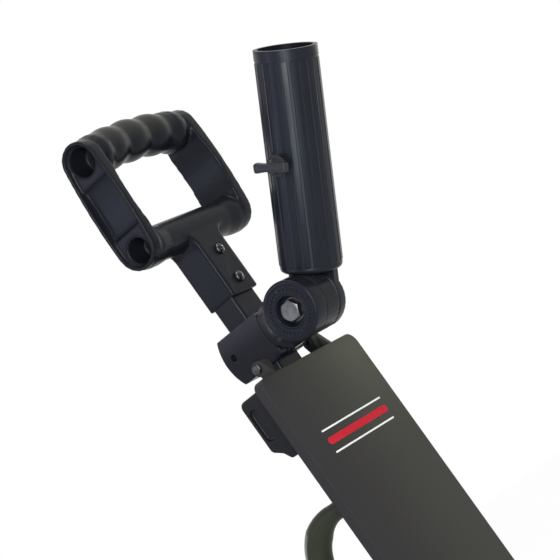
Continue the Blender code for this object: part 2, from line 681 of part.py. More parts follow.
def make_clamp():
    """Clamp moulding: split block, web and pivot barrel, with its clamp screw."""
    half = SHAFT_WIDTH / 2 + CLEARANCE + CLAMP_SIDE_WALL
    pivot = Vector((0, PIVOT_Y, PIVOT_Z))
    radius = BARREL_DIAMETER / 2
    scoop = max(radius, HUB_DIAMETER / 2) + SCOOP_GAP
    root = CLAMP_FRONT_WALL / 2 - CLEARANCE
    root_y = SHAFT_FRONT - CLEARANCE - CLAMP_FRONT_WALL / 2
    web_circles = [
        (PIVOT_Y, PIVOT_Z, radius - WEB_SHRINK),
        (root_y, CLAMP_BASE + WEB_UNDERSIDE + root, root),
        (root_y, CLAMP_TOP + WEB_SHOULDER - root, root),
    ]
    web_right = BARREL_RIGHT - WEB_INSET
    web = plate("web", round_hull(web_circles, CORNER_STEPS), ACROSS_X, BARREL_LEFT, web_right)
    barrel_end = Vector((BARREL_RIGHT, 0, 0))
    barrel = rod("barrel", radius, pivot + Vector((BARREL_LEFT, 0, 0)), pivot + barrel_end)
    block = clamp_block()
    far = Vector((2 * half, 0, 0))
    left_floor = Vector((BARREL_LEFT + CLEARANCE, 0, 0))
    right_floor = Vector((web_right - CLEARANCE, 0, 0))
    left_scoop = rod("left_scoop", scoop, pivot - far, pivot + left_floor)
    right_scoop = rod("right_scoop", scoop, pivot + right_floor, pivot + far)
    passage_front = SHAFT_FRONT - CLEARANCE
    relief_low = (web_right, passage_front - CLAMP_FRONT_WALL - CLAMP_TOE, CLAMP_BASE - CLAMP_TOE)
    relief_high = (far.x, passage_front - CLAMP_RELIEF_WALL, CLAMP_BASE + CLAMP_RELIEF)
    relief = box("relief", relief_low, relief_high)
    passage = shaft_passage("clamp_passage", CLAMP_BASE - SHAFT_WALL, CLAMP_TOP + SHAFT_WALL)
    behind = SHAFT_BACK + CLEARANCE + CLAMP_BACK_WALL
    slit_low = (-CLAMP_SLIT / 2, 0, CLAMP_BASE - CLAMP_SLIT)
    slit_high = (CLAMP_SLIT / 2, behind + 2 * CLAMP_BACK_BULGE, CLAMP_TOP + CLAMP_SLIT)
    slit = box("slit", slit_low, slit_high)
    screw_y = (SHAFT_BACK + CLEARANCE + behind) / 2
    screw_line = Vector((0, screw_y, PIVOT_Z))
    left = screw_line - Vector((half, 0, 0))
    right = screw_line + Vector((half, 0, 0))
    sink = Vector((CLAMP_SCREW_SINK, 0, 0))
    head = CLAMP_SCREW_HEAD / 2
    shank = CLAMP_SCREW_DIAMETER / 2
    screw_hole_tool = rod("clamp_hole", shank + CLEARANCE, left - sink, right, SMALL_STEPS)
    head_hole = rod("clamp_head_hole", head + CLEARANCE, right - sink, right + sink, SMALL_STEPS)
    pivot_hole = rod("pivot_hole", BOLT_DIAMETER / 2 + CLEARANCE, pivot - far, pivot + far, BORE_STEPS)
    cut(block, left_scoop, right_scoop, relief, passage, slit, solver="MANIFOLD")
    cut(block, screw_hole_tool, head_hole, solver="MANIFOLD")
    join(block, web, barrel, solver="MANIFOLD")
    finish(cut(block, pivot_hole, solver="MANIFOLD"), MOULDED_BLACK)
    seat = right - sink
    length = 2 * half - 2 * CLAMP_SCREW_SINK
    head_top = -CLEARANCE - CLAMP_SCREW_HEAD_HEIGHT
    profile = [(0, head_top), (head, head_top), (head, -CLEARANCE)]
    profile += [(shank, -CLEARANCE), (shank, length), (0, length)]
    finish(turned("clamp_screw", profile, seat, left, SMALL_STEPS), BLACK_STEEL)


def washer(name, outer, inner, thickness, start_x, look, parent=None, origin=(0, 0, 0)):
    """A flat ring on the pivot's axis, from start_x towards +X."""
    start = Vector(origin) + Vector((start_x, 0, 0))
    end = start + Vector((thickness, 0, 0))
    profile = [(inner, 0), (inner, thickness), (outer, thickness), (outer, 0), (inner, 0)]
    return finish(turned(name, profile, start, end, BORE_STEPS, parent), look)


def hexagon(name, across, start, end):
    """A hexagonal prism with the given size across its flats."""
    return rod(name, across / math.sqrt(3), start, end, 6)


def make_pivot():
    """Front disc, hex bolt, washers and lock nut, which all stay with the clamp."""
    pivot = Vector((0, PIVOT_Y, PIVOT_Z))
    radius = BARREL_DIAMETER / 2
    disc_right = BARREL_LEFT - CLEARANCE
    disc_left = disc_right - DISC_THICKNESS
    bore = BOLT_DIAMETER / 2 + CLEARANCE
    recess = BOLT_RECESS_DIAMETER / 2
    sunk = BOLT_HEAD_HEIGHT + WASHER_THICKNESS + 2 * CLEARANCE
    rim = arc((radius - DISC_EDGE, DISC_EDGE), DISC_EDGE, -90, 0, CORNER_STEPS)
    profile = [(bore, sunk), (recess, sunk), (recess, 0)] + rim
    profile += [(radius, DISC_THICKNESS), (bore, DISC_THICKNESS), (bore, sunk)]
    disc_start = pivot + Vector((disc_left, 0, 0))
    finish(turned("front_disc", profile, disc_start, pivot + Vector((disc_right, 0, 0))), MOULDED_BLACK)
    head_right = disc_left + BOLT_HEAD_HEIGHT
    ring_radius = WASHER_DIAMETER / 2
    washer("bolt_washer", ring_radius, bore, WASHER_THICKNESS, head_right + CLEARANCE, ZINC, None, pivot)
    head = hexagon("pivot_bolt", BOLT_HEAD_ACROSS, disc_start, pivot + Vector((head_right, 0, 0)))
    nut_end = HUB_RIGHT + WASHER_THICKNESS + NUT_HEIGHT + 2 * CLEARANCE
    tip = pivot + Vector((nut_end + BOLT_THREAD_PAST_NUT, 0, 0))
    shank_start = pivot + Vector((disc_left + BOLT_HEAD_HEIGHT / 2, 0, 0))
    finish(join(head, rod("bolt_shank", BOLT_DIAMETER / 2, shank_start, tip, BORE_STEPS)), ZINC)
    wide = FRICTION_WASHER_DIAMETER / 2
    thin = FRICTION_WASHER_THICKNESS
    washer("friction_washer", wide, bore, thin, BARREL_RIGHT + CLEARANCE, FIBRE, None, pivot)
    washer("nut_washer", ring_radius, bore, WASHER_THICKNESS, HUB_RIGHT + CLEARANCE, ZINC, None, pivot)
    nut_left = pivot + Vector((nut_end - NUT_HEIGHT, 0, 0))
    nut_right = pivot + Vector((nut_end, 0, 0))
    spare = Vector((CLEARANCE, 0, 0))
    nut = hexagon("pivot_nut", BOLT_HEAD_ACROSS, nut_left, nut_right)
    finish(cut(nut, rod("nut_bore", bore, nut_left - spare, nut_right + spare, BORE_STEPS)), ZINC)


def make_umbrella_holder(pivot):
    """Umbrella holder: hub, neck and open tube in one moulding, with a brass thread insert."""
    radius = HOLDER_DIAMETER / 2
    base = Vector((HOLDER_X, 0, HOLDER_BOTTOM))
    height = HOLDER_REACH - HOLDER_BOTTOM
    step = radius - HOLDER_COLLAR_STEP
    profile = [(0, HOLDER_FLOOR), (HOLDER_INNER, HOLDER_FLOOR), (HOLDER_INNER, height), (radius, height)]
    profile += [(radius, height - HOLDER_COLLAR), (step, height - HOLDER_COLLAR - HOLDER_COLLAR_STEP)]
    round_centre = (step - HOLDER_BOTTOM_ROUND, HOLDER_BOTTOM_ROUND)
    profile += arc(round_centre, HOLDER_BOTTOM_ROUND, 0, -90, CORNER_STEPS)
    profile += [(0, 0)]
    holder = turned("umbrella_holder", profile, base, base + Vector((0, 0, height)), ROUND_STEPS, pivot)
    hub_left = Vector((HUB_LEFT, 0, 0))
    hub_right = Vector((HUB_RIGHT, 0, 0))
    scallop_radius = BARREL_DIAMETER / 2 + HOLDER_BARREL_GAP
    scallop_end = hub_left + Vector((HUB_EDGE, 0, 0))
    scallop_start = hub_left - Vector((HOLDER_DIAMETER, 0, 0))
    cut(holder, rod("scallop", scallop_radius, scallop_start, scallop_end, BORE_STEPS, pivot))
    hub = rod("hub", HUB_DIAMETER / 2, hub_left, hub_right, ROUND_STEPS, pivot)
    round_edges(hub, HUB_EDGE)
    neck_top = HOLDER_BOTTOM + HOLDER_FLOOR / 2
    neck_low = (HUB_LEFT + HUB_EDGE, -NECK_WIDTH / 2, 0)
    neck = box("neck", neck_low, (HUB_RIGHT - HUB_EDGE, NECK_WIDTH / 2, neck_top), pivot)
    boss_x = HOLDER_X - step
    screw_line = Vector((0, 0, SCREW_REACH))
    boss_start = screw_line + Vector((boss_x - BOSS_HEIGHT, 0, 0))
    boss_end = screw_line + Vector((boss_x + INSERT_DEPTH, 0, 0))
    boss = rod("boss", BOSS_DIAMETER / 2, boss_start, boss_end, BORE_STEPS, pivot)
    insert_radius = SCREW_DIAMETER / 2 + RUNNING_GAP + INSERT_WALL
    reach = Vector((BOSS_HEIGHT + HOLDER_WALL, 0, 0))
    hole_radius = insert_radius + CLEARANCE
    insert_hole = rod("insert_hole", hole_radius, boss_start - reach, boss_end + reach, BORE_STEPS, pivot)
    bore = BOLT_DIAMETER / 2 + RUNNING_GAP
    bolt_hole = rod("hub_hole", bore, hub_left - reach, hub_right + reach, BORE_STEPS, pivot)
    drain_x = HUB_LEFT - CLEARANCE - DRAIN_DIAMETER / 2
    drain_base = Vector((drain_x, 0, HOLDER_BOTTOM - HOLDER_FLOOR))
    drain_top = drain_base + Vector((0, 0, 3 * HOLDER_FLOOR))
    drain = rod("drain", DRAIN_DIAMETER / 2, drain_base, drain_top, SMALL_STEPS, pivot)
    finish(cut(join(holder, neck, hub, boss), insert_hole, bolt_hole, drain), GLOSS_BLACK)
    thread = SCREW_DIAMETER / 2 + RUNNING_GAP
    length = BOSS_HEIGHT + INSERT_DEPTH
    washer("thread_insert", insert_radius, thread, length, boss_start.x, BRASS, pivot, screw_line)


def make_thumb_screw(axis):
    """T-headed thumb screw and the pressure pad that it pushes against the umbrella's shaft."""
    wall_outside = -(HOLDER_DIAMETER / 2 - HOLDER_COLLAR_STEP)
    pad_left = -math.sqrt(HOLDER_INNER ** 2 - (PAD_DIAMETER / 2) ** 2) + 2 * CLEARANCE
    radius = PAD_DIAMETER / 2
    pad_profile = [(0, 0), (radius, 0), (radius, PAD_THICKNESS - PAD_EDGE)]
    pad_profile += [(radius - PAD_EDGE, PAD_THICKNESS), (0, PAD_THICKNESS)]
    pad_start = Vector((pad_left, 0, 0))
    pad_end = pad_start + Vector((PAD_THICKNESS, 0, 0))
    finish(turned("pressure_pad", pad_profile, pad_start, pad_end, BORE_STEPS, axis), MOULDED_BLACK)
    head_x = wall_outside - BOSS_HEIGHT - SCREW_STANDOFF
    tip = Vector((pad_left - CLEARANCE, 0, 0))
    head = Vector((head_x, 0, 0))
    half = TEE_LENGTH / 2
    thick = TEE_THICKNESS / 2
    middle = TEE_HUB_DIAMETER / 2
    bar_circles = [(-half + thick, 0, thick), (0, 0, middle), (half - thick, 0, thick), (0, 0, middle)]
    belt = round_hull(bar_circles, LARGE_CORNER_STEPS)
    bar = plate("thumb_screw", belt, ACROSS_X, head_x - thick, head_x + thick, axis)
    round_edges(bar, TEE_EDGE)
    hub_end = head + Vector((thick + TEE_HUB_LENGTH, 0, 0))
    hub = rod("tee_hub", middle, head, hub_end, BORE_STEPS, axis)
    shank = rod("tee_shank", SCREW_DIAMETER / 2, head, tip, BORE_STEPS, axis)
    finish(join(bar, hub, shank), GLOSS_BLACK)


def make_saddle():
    """Saddle block that straddles the shaft behind the tray, with an oblong recess in each side."""
    front = SHAFT_FRONT
    lip_base = SADDLE_BASE - SADDLE_LIP
    lip_back = SADDLE_BACK_Y - SADDLE_LIP_STEP
    round_z = SADDLE_TOP - SADDLE_ROUND
    round_y = SADDLE_BACK_Y - SADDLE_ROUND
    outline = [(front, lip_base), (lip_back - SADDLE_LIP_STEP / 2, lip_base)]
    outline += [(lip_back, SADDLE_BASE - SADDLE_LIP / 3)]
    outline += arc((round_y, SADDLE_BASE + SADDLE_ROUND), SADDLE_ROUND, -70, 0, CORNER_STEPS)
    outline += arc((round_y, round_z), SADDLE_ROUND, 0, 90, CORNER_STEPS)
    outline += [(front, SADDLE_TOP)]
    saddle = round_edges(plate("shaft_saddle", outline, ACROSS_X, -SADDLE_HALF, SADDLE_HALF), SADDLE_EDGE)
    passage = shaft_outline(CLEARANCE)
    channel = plate("channel", passage, ACROSS_Z, lip_base - SADDLE_LIP, SADDLE_TOP + SADDLE_LIP)
    half = SHAFT_WIDTH / 2 + CLEARANCE
    mouth = box("mouth", (-half, 2 * front, lip_base - SADDLE_LIP), (half, 0, SADDLE_TOP + SADDLE_LIP))
    recess_y = SADDLE_BACK_Y - RECESS_FROM_BACK
    recess_z = (SADDLE_TOP + SADDLE_BASE) / 2
    reach = RECESS_LENGTH / 2 - RECESS_WIDTH / 2
    end = RECESS_WIDTH / 2
    slot = round_hull([(recess_y, recess_z - reach, end), (recess_y, recess_z + reach, end)])
    floor = SADDLE_HALF - RECESS_DEPTH
    left = plate("left_recess", slot, ACROSS_X, -SADDLE_HALF - RECESS_DEPTH, -floor)
    right = plate("right_recess", slot, ACROSS_X, floor, SADDLE_HALF + RECESS_DEPTH)
    holes = [screw_hole("saddle_hole", *line) for line in SADDLE_SCREWS]
    finish(cut(saddle, channel, mouth, left, right, *holes), MOULDED_BLACK)


def hinge_hole(name, side, gap):
    """A cutter for the hinge pin's hole on one side."""
    reach = LUG_SPACING / 2
    start = Vector((side * (reach + LUG_THICKNESS), HINGE_Y, HINGE_Z))
    end = Vector((side * (reach - LUG_THICKNESS - TRAY_LUG_WIDTH - LUG_THICKNESS), HINGE_Y, HINGE_Z))
    return rod(name, PIN_DIAMETER / 2 + gap, start, end, SMALL_STEPS)


def make_tray():
    """Open scorecard tray, screwed to the saddle, with two lugs for the lid's hinge."""
    outline = rounded_rectangle(TRAY_WIDTH, TRAY_LENGTH, TRAY_CORNER, (0, LID_MID_Z))
    tray = plate("console_tray", outline, ACROSS_Y, TRAY_RIM_Y, TRAY_BASE_Y)
    inner_width = TRAY_WIDTH - 2 * TRAY_WALL
    inner_length = TRAY_LENGTH - 2 * TRAY_WALL
    inner = rounded_rectangle(inner_width, inner_length, TRAY_CORNER - TRAY_WALL, (0, LID_MID_Z))
    pocket = plate("tray_pocket", inner, ACROSS_Y, TRAY_RIM_Y - TRAY_DEPTH, TRAY_FLOOR_Y)
    tray_top = LID_MID_Z + TRAY_LENGTH / 2
    lugs = []
    holes = []
    arm = (LID_RIM_Y + RUNNING_GAP * 2 - TRAY_BASE_Y) / -2
    outer = LUG_SPACING / 2 - LUG_THICKNESS / 2 - RUNNING_GAP
    for side in (-1, 1):
        circles = [
            (TRAY_BASE_Y - arm, tray_top - TRAY_WALL / 2 - arm, arm),
            (HINGE_Y, HINGE_Z, LUG_RADIUS - RUNNING_GAP),
        ]
        low, high = sorted((side * outer, side * (outer - TRAY_LUG_WIDTH)))
        lugs.append(plate("tray_lug", round_hull(circles), ACROSS_X, low, high))
        holes.append(hinge_hole("tray_pin_hole", side, CLEARANCE))
    screw_holes = [screw_hole("tray_hole", *line) for line in SADDLE_SCREWS]
    cut(tray, pocket, *screw_holes, solver="MANIFOLD")
    join(tray, *lugs, solver="MANIFOLD")
    finish(cut(tray, *holes, solver="MANIFOLD"), CHARCOAL)
    for number, line in enumerate(SADDLE_SCREWS, 1):
        pan_screw(f"tray_screw_{number}", *line)


def make_lid(hinge):
    """Lid of the scorecard tray: a shallow shell with two hinge lugs, and the two pins."""
    outline = rounded_rectangle(LID_WIDTH, LID_LENGTH, LID_CORNER, (0, LID_MID_Z), LARGE_CORNER_STEPS)
    lid = plate("console_lid", outline, ACROSS_Y, LID_TOP_Y, LID_RIM_Y)
    top_edges = lid.modifiers.new("round", "BEVEL")
    top_edges.width = LID_EDGE
    top_edges.segments = 3
    top_edges.limit_method = "VGROUP"
    group = lid.vertex_groups.new(name="top")
    middle_y = (LID_TOP_Y + LID_RIM_Y) / 2
    group.add([v.index for v in lid.data.vertices if v.co.y < middle_y], 1.0, "REPLACE")
    top_edges.vertex_group = "top"
    inner_width = LID_WIDTH - 2 * LID_WALL
    inner_length = LID_LENGTH - 2 * LID_WALL
    inner_corner = LID_CORNER - LID_WALL
    inner = rounded_rectangle(inner_width, inner_length, inner_corner, (0, LID_MID_Z), LARGE_CORNER_STEPS)
    hollow = plate("lid_hollow", inner, ACROSS_Y, LID_TOP_Y + LID_WALL, LID_RIM_Y + LID_DEPTH)
    lugs = []
    holes = []
    wall_circle = LID_WALL / 2
    for side in (-1, 1):
        circles = [
            (LID_TOP_Y + LID_EDGE, LID_TOP_Z - wall_circle, wall_circle),
            (LID_RIM_Y - wall_circle, LID_TOP_Z - wall_circle, wall_circle),
            (HINGE_Y, HINGE_Z, LUG_RADIUS),
        ]
        low = side * LUG_SPACING / 2 - LUG_THICKNESS / 2
        lugs.append(plate("lid_lug", round_hull(circles), ACROSS_X, low, low + LUG_THICKNESS))
        holes.append(hinge_hole("lid_pin_hole", side, RUNNING_GAP))
    finish(cut(join(cut(lid, hollow), *lugs), *holes), CHARCOAL)
    lid.parent = hinge
    lid.matrix_parent_inverse = hinge.matrix_world.inverted()
    for side, name in ((-1, "hinge_pin_left"), (1, "hinge_pin_right")):
        seat = side * (LUG_SPACING / 2 + LUG_THICKNESS / 2 + RUNNING_GAP)
        end = side * (LUG_SPACING / 2 - LUG_THICKNESS / 2 - TRAY_LUG_WIDTH)
        length = abs(seat - end)
        head = PIN_HEAD_DIAMETER / 2
        shank = PIN_DIAMETER / 2
        profile = [(0, -PIN_HEAD_HEIGHT), (head - PIN_HEAD_EDGE, -PIN_HEAD_HEIGHT)]
        profile += [(head, PIN_HEAD_EDGE - PIN_HEAD_HEIGHT), (head, 0)]
        profile += [(shank, 0), (shank, length), (0, length)]
        pin = turned(name, profile, (seat, HINGE_Y, HINGE_Z), (end, HINGE_Y, HINGE_Z), SMALL_STEPS)
        finish(pin, BLACK_STEEL)


def make_strut():
    """Elbow for the rear strut: a base on the back of the shaft and a horn that bends down."""
    root_y = SHAFT_BACK + CLEARANCE
    half_width = SHAFT_WIDTH / 2
    outline = rounded_rectangle(2 * half_width, STRUT_BASE_LENGTH, half_width / 2, (0, STRUT_Z))
    base = plate("strut_elbow", outline, ACROSS_Y, root_y, root_y + STRUT_BASE_THICKNESS)
    round_edges(base, STRUT_BASE_THICKNESS / 4)
    curve = bpy.data.curves.new("horn", "CURVE")
    curve.dimensions = "3D"
    curve.bevel_depth = 1.0
    curve.bevel_resolution = TUBE_RESOLUTION
    curve.use_fill_caps = True
    path = [(root_y + STRUT_BASE_THICKNESS / 2, STRUT_Z), (root_y + STRUT_STRAIGHT, STRUT_Z)]
    centre = (root_y + STRUT_STRAIGHT, STRUT_Z - STRUT_BEND_RADIUS)
    path += arc(centre, STRUT_BEND_RADIUS, 90, 90 - math.degrees(STRUT_BEND), BEND_STEPS)[1:]
    last_y, last_z = path[-1]
    path.append((last_y + STRUT_TAIL * math.cos(STRUT_BEND), last_z - STRUT_TAIL * math.sin(STRUT_BEND)))
    spline = curve.splines.new("POLY")
    spline.points.add(len(path) - 1)
    for i, (point, (y, z)) in enumerate(zip(spline.points, path)):
        swell = min(1.0, i / (len(path) / 2))
        point.co = (0, y, z, 1)
        point.radius = STRUT_ROOT_RADIUS + (STRUT_RADIUS - STRUT_ROOT_RADIUS) * swell
    source = bpy.data.objects.new("horn_curve", curve)
    PARTS.objects.link(source)
    horn = link("horn", baked(source, "horn"))
    holes = [screw_hole("strut_hole", *line) for line in STRUT_SCREWS]
    finish(cut(join(base, horn), *holes), MOULDED_BLACK)
    for number, line in enumerate(STRUT_SCREWS, 1):
        pan_screw(f"strut_screw_{number}", *line)


make_shaft()
make_handle()
make_clamp()
make_pivot()
umbrella_pivot = empty("umbrella_pivot", (0, PIVOT_Y, PIVOT_Z), (TILT, 0, 0))
make_umbrella_holder(umbrella_pivot)
thumb_axis = empty("thumb_screw_axis", (HOLDER_X, 0, SCREW_REACH), (0, 0, 0), umbrella_pivot)
make_thumb_screw(thumb_axis)
make_saddle()
make_tray()
lid_hinge = empty("lid_hinge", (0, HINGE_Y, HINGE_Z))
bpy.context.view_layer.update()
make_lid(lid_hinge)
make_strut()
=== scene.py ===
import json
import math

import bmesh
import bpy
from mathutils import Matrix, Vector


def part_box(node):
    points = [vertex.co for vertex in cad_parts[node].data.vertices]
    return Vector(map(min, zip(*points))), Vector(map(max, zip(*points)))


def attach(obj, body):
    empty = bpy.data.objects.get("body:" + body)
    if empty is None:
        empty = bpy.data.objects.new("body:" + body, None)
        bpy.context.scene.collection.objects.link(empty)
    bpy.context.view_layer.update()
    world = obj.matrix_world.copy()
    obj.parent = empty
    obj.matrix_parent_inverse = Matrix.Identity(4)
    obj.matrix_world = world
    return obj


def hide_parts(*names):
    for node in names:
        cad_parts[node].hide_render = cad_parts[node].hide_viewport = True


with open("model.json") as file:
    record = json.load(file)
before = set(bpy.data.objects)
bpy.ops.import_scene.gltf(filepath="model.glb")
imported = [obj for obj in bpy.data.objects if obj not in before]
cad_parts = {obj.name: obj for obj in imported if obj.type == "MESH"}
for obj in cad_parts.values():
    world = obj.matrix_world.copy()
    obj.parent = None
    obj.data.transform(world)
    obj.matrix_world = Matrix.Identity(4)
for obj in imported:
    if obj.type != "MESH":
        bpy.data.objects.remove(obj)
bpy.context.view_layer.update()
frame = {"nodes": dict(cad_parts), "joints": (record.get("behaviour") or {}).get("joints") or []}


# Shaft: a rectangular steel tube, cut to length and sprayed satin black.
# A moulded plug is pressed into its lower end, and the handle and clamp are pushed on from above.

class Link:
    """One output of a shader node, so that masks can be added, taken away and scaled as numbers."""

    def __init__(self, nodes, socket):
        self.nodes = nodes
        self.socket = socket

    def math(self, operation, first, second):
        return self.nodes.node("Math", {"operation": operation}, {0: first, 1: second})

    def __add__(self, other):
        return self.math("ADD", self, other)

    def __radd__(self, other):
        return self.math("ADD", other, self)

    def __sub__(self, other):
        return self.math("SUBTRACT", self, other)

    def __rsub__(self, other):
        return self.math("SUBTRACT", other, self)

    def __mul__(self, other):
        return self.math("MULTIPLY", self, other)

    def __rmul__(self, other):
        return self.math("MULTIPLY", other, self)


class Nodes:
    """A node tree being filled: node() adds any node, fills its inputs and gives one of its outputs."""

    def __init__(self, tree):
        self.tree = tree

    def fill(self, target, sockets):
        for key, value in sockets.items():
            if isinstance(value, Link):
                self.tree.links.new(value.socket, target.inputs[key])
            else:
                target.inputs[key].default_value = value

    def node(self, kind, settings, sockets, output=0):
        made = self.tree.nodes.new("ShaderNode" + kind)
        for key, value in settings.items():
            setattr(made, key, value)
        self.fill(made, sockets)
        return Link(self, made.outputs[output])


class Finish(Nodes):
    """A finish being mixed: feed() fills its Principled shader, and the others make masks for it."""

    def __init__(self, name, constants):
        self.material = bpy.data.materials.new(name)
        self.material.use_nodes = True
        super().__init__(self.material.node_tree)
        self.shader = self.tree.nodes["Principled BSDF"]
        self.feed(constants)

    def feed(self, sockets):
        self.fill(self.shader, sockets)

    def place(self, axis=None):
        spot = self.node("TexCoord", {}, {}, "Object")
        return self.node("SeparateXYZ", {}, {0: spot}, axis) if axis else spot

    def noise(self, scale, detail=2.0, stretch=(1, 1, 1)):
        spot = self.node("Mapping", {}, {"Vector": self.place(), "Scale": stretch})
        return self.node("TexNoise", {}, {"Vector": spot, "Scale": scale, "Detail": detail})

    def band(self, value, low, high):
        limits = {"Value": value, "From Min": low, "From Max": high}
        return self.node("MapRange", {"interpolation_type": "SMOOTHSTEP"}, limits)

    def mix(self, factor, first, second):
        """A blend of two colours; 6, 7 and 2 are the Mix node's colour inputs and output."""
        ends = [colour if isinstance(colour, Link) else (*colour, 1) for colour in (first, second)]
        return self.node("Mix", {"data_type": "RGBA"}, {0: factor, 6: ends[0], 7: ends[1]}, 2)

    def rounded(self, radius):
        return self.node("Bevel", {"samples": 6}, {"Radius": radius})

    def corners(self, radius):
        plain = self.node("NewGeometry", {}, {}, "Normal")
        ends = {0: self.rounded(radius), 1: plain}
        return 1.0 - self.node("VectorMath", {"operation": "DOT_PRODUCT"}, ends, "Value")

    def bump(self, height, strength, distance, normal):
        sockets = {"Height": height, "Strength": strength, "Distance": distance, "Normal": normal}
        return self.node("Bump", {}, sockets)


def shading_group(angle):
    """Geometry nodes that shade a solid smooth and keep the edges that turn more than an angle."""
    group = bpy.data.node_groups.new("smooth shading", "GeometryNodeTree")
    group.interface.new_socket("Geometry", in_out="INPUT", socket_type="NodeSocketGeometry")
    group.interface.new_socket("Geometry", in_out="OUTPUT", socket_type="NodeSocketGeometry")
    start = group.nodes.new("NodeGroupInput")
    end = group.nodes.new("NodeGroupOutput")
    faces = group.nodes.new("GeometryNodeSetShadeSmooth")
    edges = group.nodes.new("GeometryNodeSetShadeSmooth")
    edges.domain = "EDGE"
    edges.inputs["Shade Smooth"].default_value = False
    turn = group.nodes.new("GeometryNodeInputMeshEdgeAngle")
    steep = group.nodes.new("FunctionNodeCompare")
    steep.inputs["B"].default_value = angle
    group.links.new(turn.outputs["Unsigned Angle"], steep.inputs["A"])
    group.links.new(steep.outputs["Result"], edges.inputs["Selection"])
    group.links.new(start.outputs[0], faces.inputs["Geometry"])
    group.links.new(faces.outputs["Geometry"], edges.inputs["Geometry"])
    group.links.new(edges.outputs["Geometry"], end.inputs[0])
    return group


crease_angle = math.radians(48)
smooth_shading = shading_group(crease_angle)
weld_distance = 0.00001


def coat(finish, *names):
    """Put a finish on CAD nodes and shade their facets as the round surfaces that they stand for."""
    for name in names:
        solid = frame["nodes"][name]
        solid.data.materials.clear()
        solid.data.materials.append(finish.material)
        solid.modifiers.new("weld", "WELD").merge_threshold = weld_distance
        solid.modifiers.new("shade", "NODES").node_group = smooth_shading
        solid.modifiers.new("normals", "WEIGHTED_NORMAL").keep_sharp = True


paint_deep = (0.0062, 0.0065, 0.0085)
paint_pale = (0.0096, 0.0099, 0.0122)
paint_rubbed = (0.050, 0.050, 0.054)
paint_corner = 0.0010
paint_wear = 0.0011
peel_depth = 0.0002


def satin_paint():
    """Sprayed black paint: a soft orange peel, faint marks along the tube and rubbed corners."""
    paint = Finish("shaft_satin_paint", {"Specular IOR Level": 0.10})
    peel = paint.noise(scale=420.0)
    cloud = paint.noise(scale=24.0, detail=4.0)
    marks = paint.noise(scale=60.0, detail=6.0, stretch=(14, 14, 0.5))
    scuffs = paint.band(marks, low=0.56, high=0.70)
    worn = paint.band(paint.corners(paint_wear) * (0.4 + cloud), low=0.05, high=0.30)
    black = paint.mix(cloud, paint_deep, paint_pale)
    paint.feed({
        "Base Color": paint.mix(worn, black, paint_rubbed),
        "Roughness": 0.24 + cloud * 0.10 + scuffs * 0.12,
        "Normal": paint.bump(peel, 0.12, peel_depth, paint.rounded(paint_corner)),
    })
    return paint


coat(satin_paint(), "shaft_tube")


# Handle: one moulding in black nylon with cored ends, its tool spark-eroded to a fine grain.
# Its corners are paler from wear and from a painted edge highlight, and the top of its grip is painted
# paler as painted light from above.

grain_depth = 0.00015


def moulding(name, colour, roughness, corner, rub_and_highlight=2.4, grain=0.25, shine=0.085):
    """Grained moulded plastic: cloudy, a little smoother on its corners and paler there, partly wear
    and partly a painted edge highlight.
    """
    skin = Finish(name, {"Specular IOR Level": shine})
    spark = skin.noise(scale=1700.0)
    cloud = skin.noise(scale=28.0, detail=5.0)
    specks = skin.band(skin.noise(scale=900.0), low=0.62, high=0.74)
    rubbed = skin.band(skin.corners(corner) * (0.5 + cloud), low=0.04, high=0.35)
    lift = tuple(channel * 1.5 for channel in colour)
    # Painted highlight: the corner colour is lifted, standing partly for wear and partly for the bright
    # lines that light makes along edges.
    worn_edge_highlight = tuple(channel * rub_and_highlight for channel in colour)
    skin.base = skin.mix(rubbed, skin.mix(cloud * 0.8 + specks * 0.2, colour, lift), worn_edge_highlight)
    skin.feed({
        "Base Color": skin.base,
        "Roughness": roughness + cloud * 0.14 - rubbed * 0.10,
        "Normal": skin.bump(spark, grain, grain_depth, skin.rounded(corner)),
    })
    return skin


def softened(node, voxel, rounds):
    """A CAD node's mesh with its corners worn round, as they leave a mould."""
    rough = bpy.data.objects.new("rough", frame["nodes"][node].data.copy())
    bpy.context.scene.collection.objects.link(rough)
    rough.modifiers.new("weld", "WELD").merge_threshold = weld_distance
    grid = rough.modifiers.new("grid", "REMESH")
    grid.mode = "VOXEL"
    grid.voxel_size = voxel
    relax = rough.modifiers.new("relax", "SMOOTH")
    relax.factor = 0.5
    relax.iterations = rounds
    bpy.context.view_layer.update()
    shape = bmesh.new()
    shape.from_object(rough, bpy.context.evaluated_depsgraph_get())
    bpy.data.objects.remove(rough, do_unlink=True)
    shape.normal_update()
    return shape


def mesh_of(bm, name):
    """A mesh made of a bmesh, which is freed."""
    mesh = bpy.data.meshes.new(name)
    bm.to_mesh(mesh)
    bm.free()
    return mesh


def piece(name, bm, body, finish, slot, *nodes, sharp=40):
    """Make an object of a mesh, finish it, and let it move with a body in place of CAD nodes."""
    made = bpy.data.objects.new(name, mesh_of(bm, name))
    bpy.context.scene.collection.objects.link(made)
    made.data.shade_smooth()
    made.data.set_sharp_from_angle(angle=math.radians(sharp))
    made.data.materials.append(finish.material)
    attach(made, body)
    if nodes:
        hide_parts(*nodes)


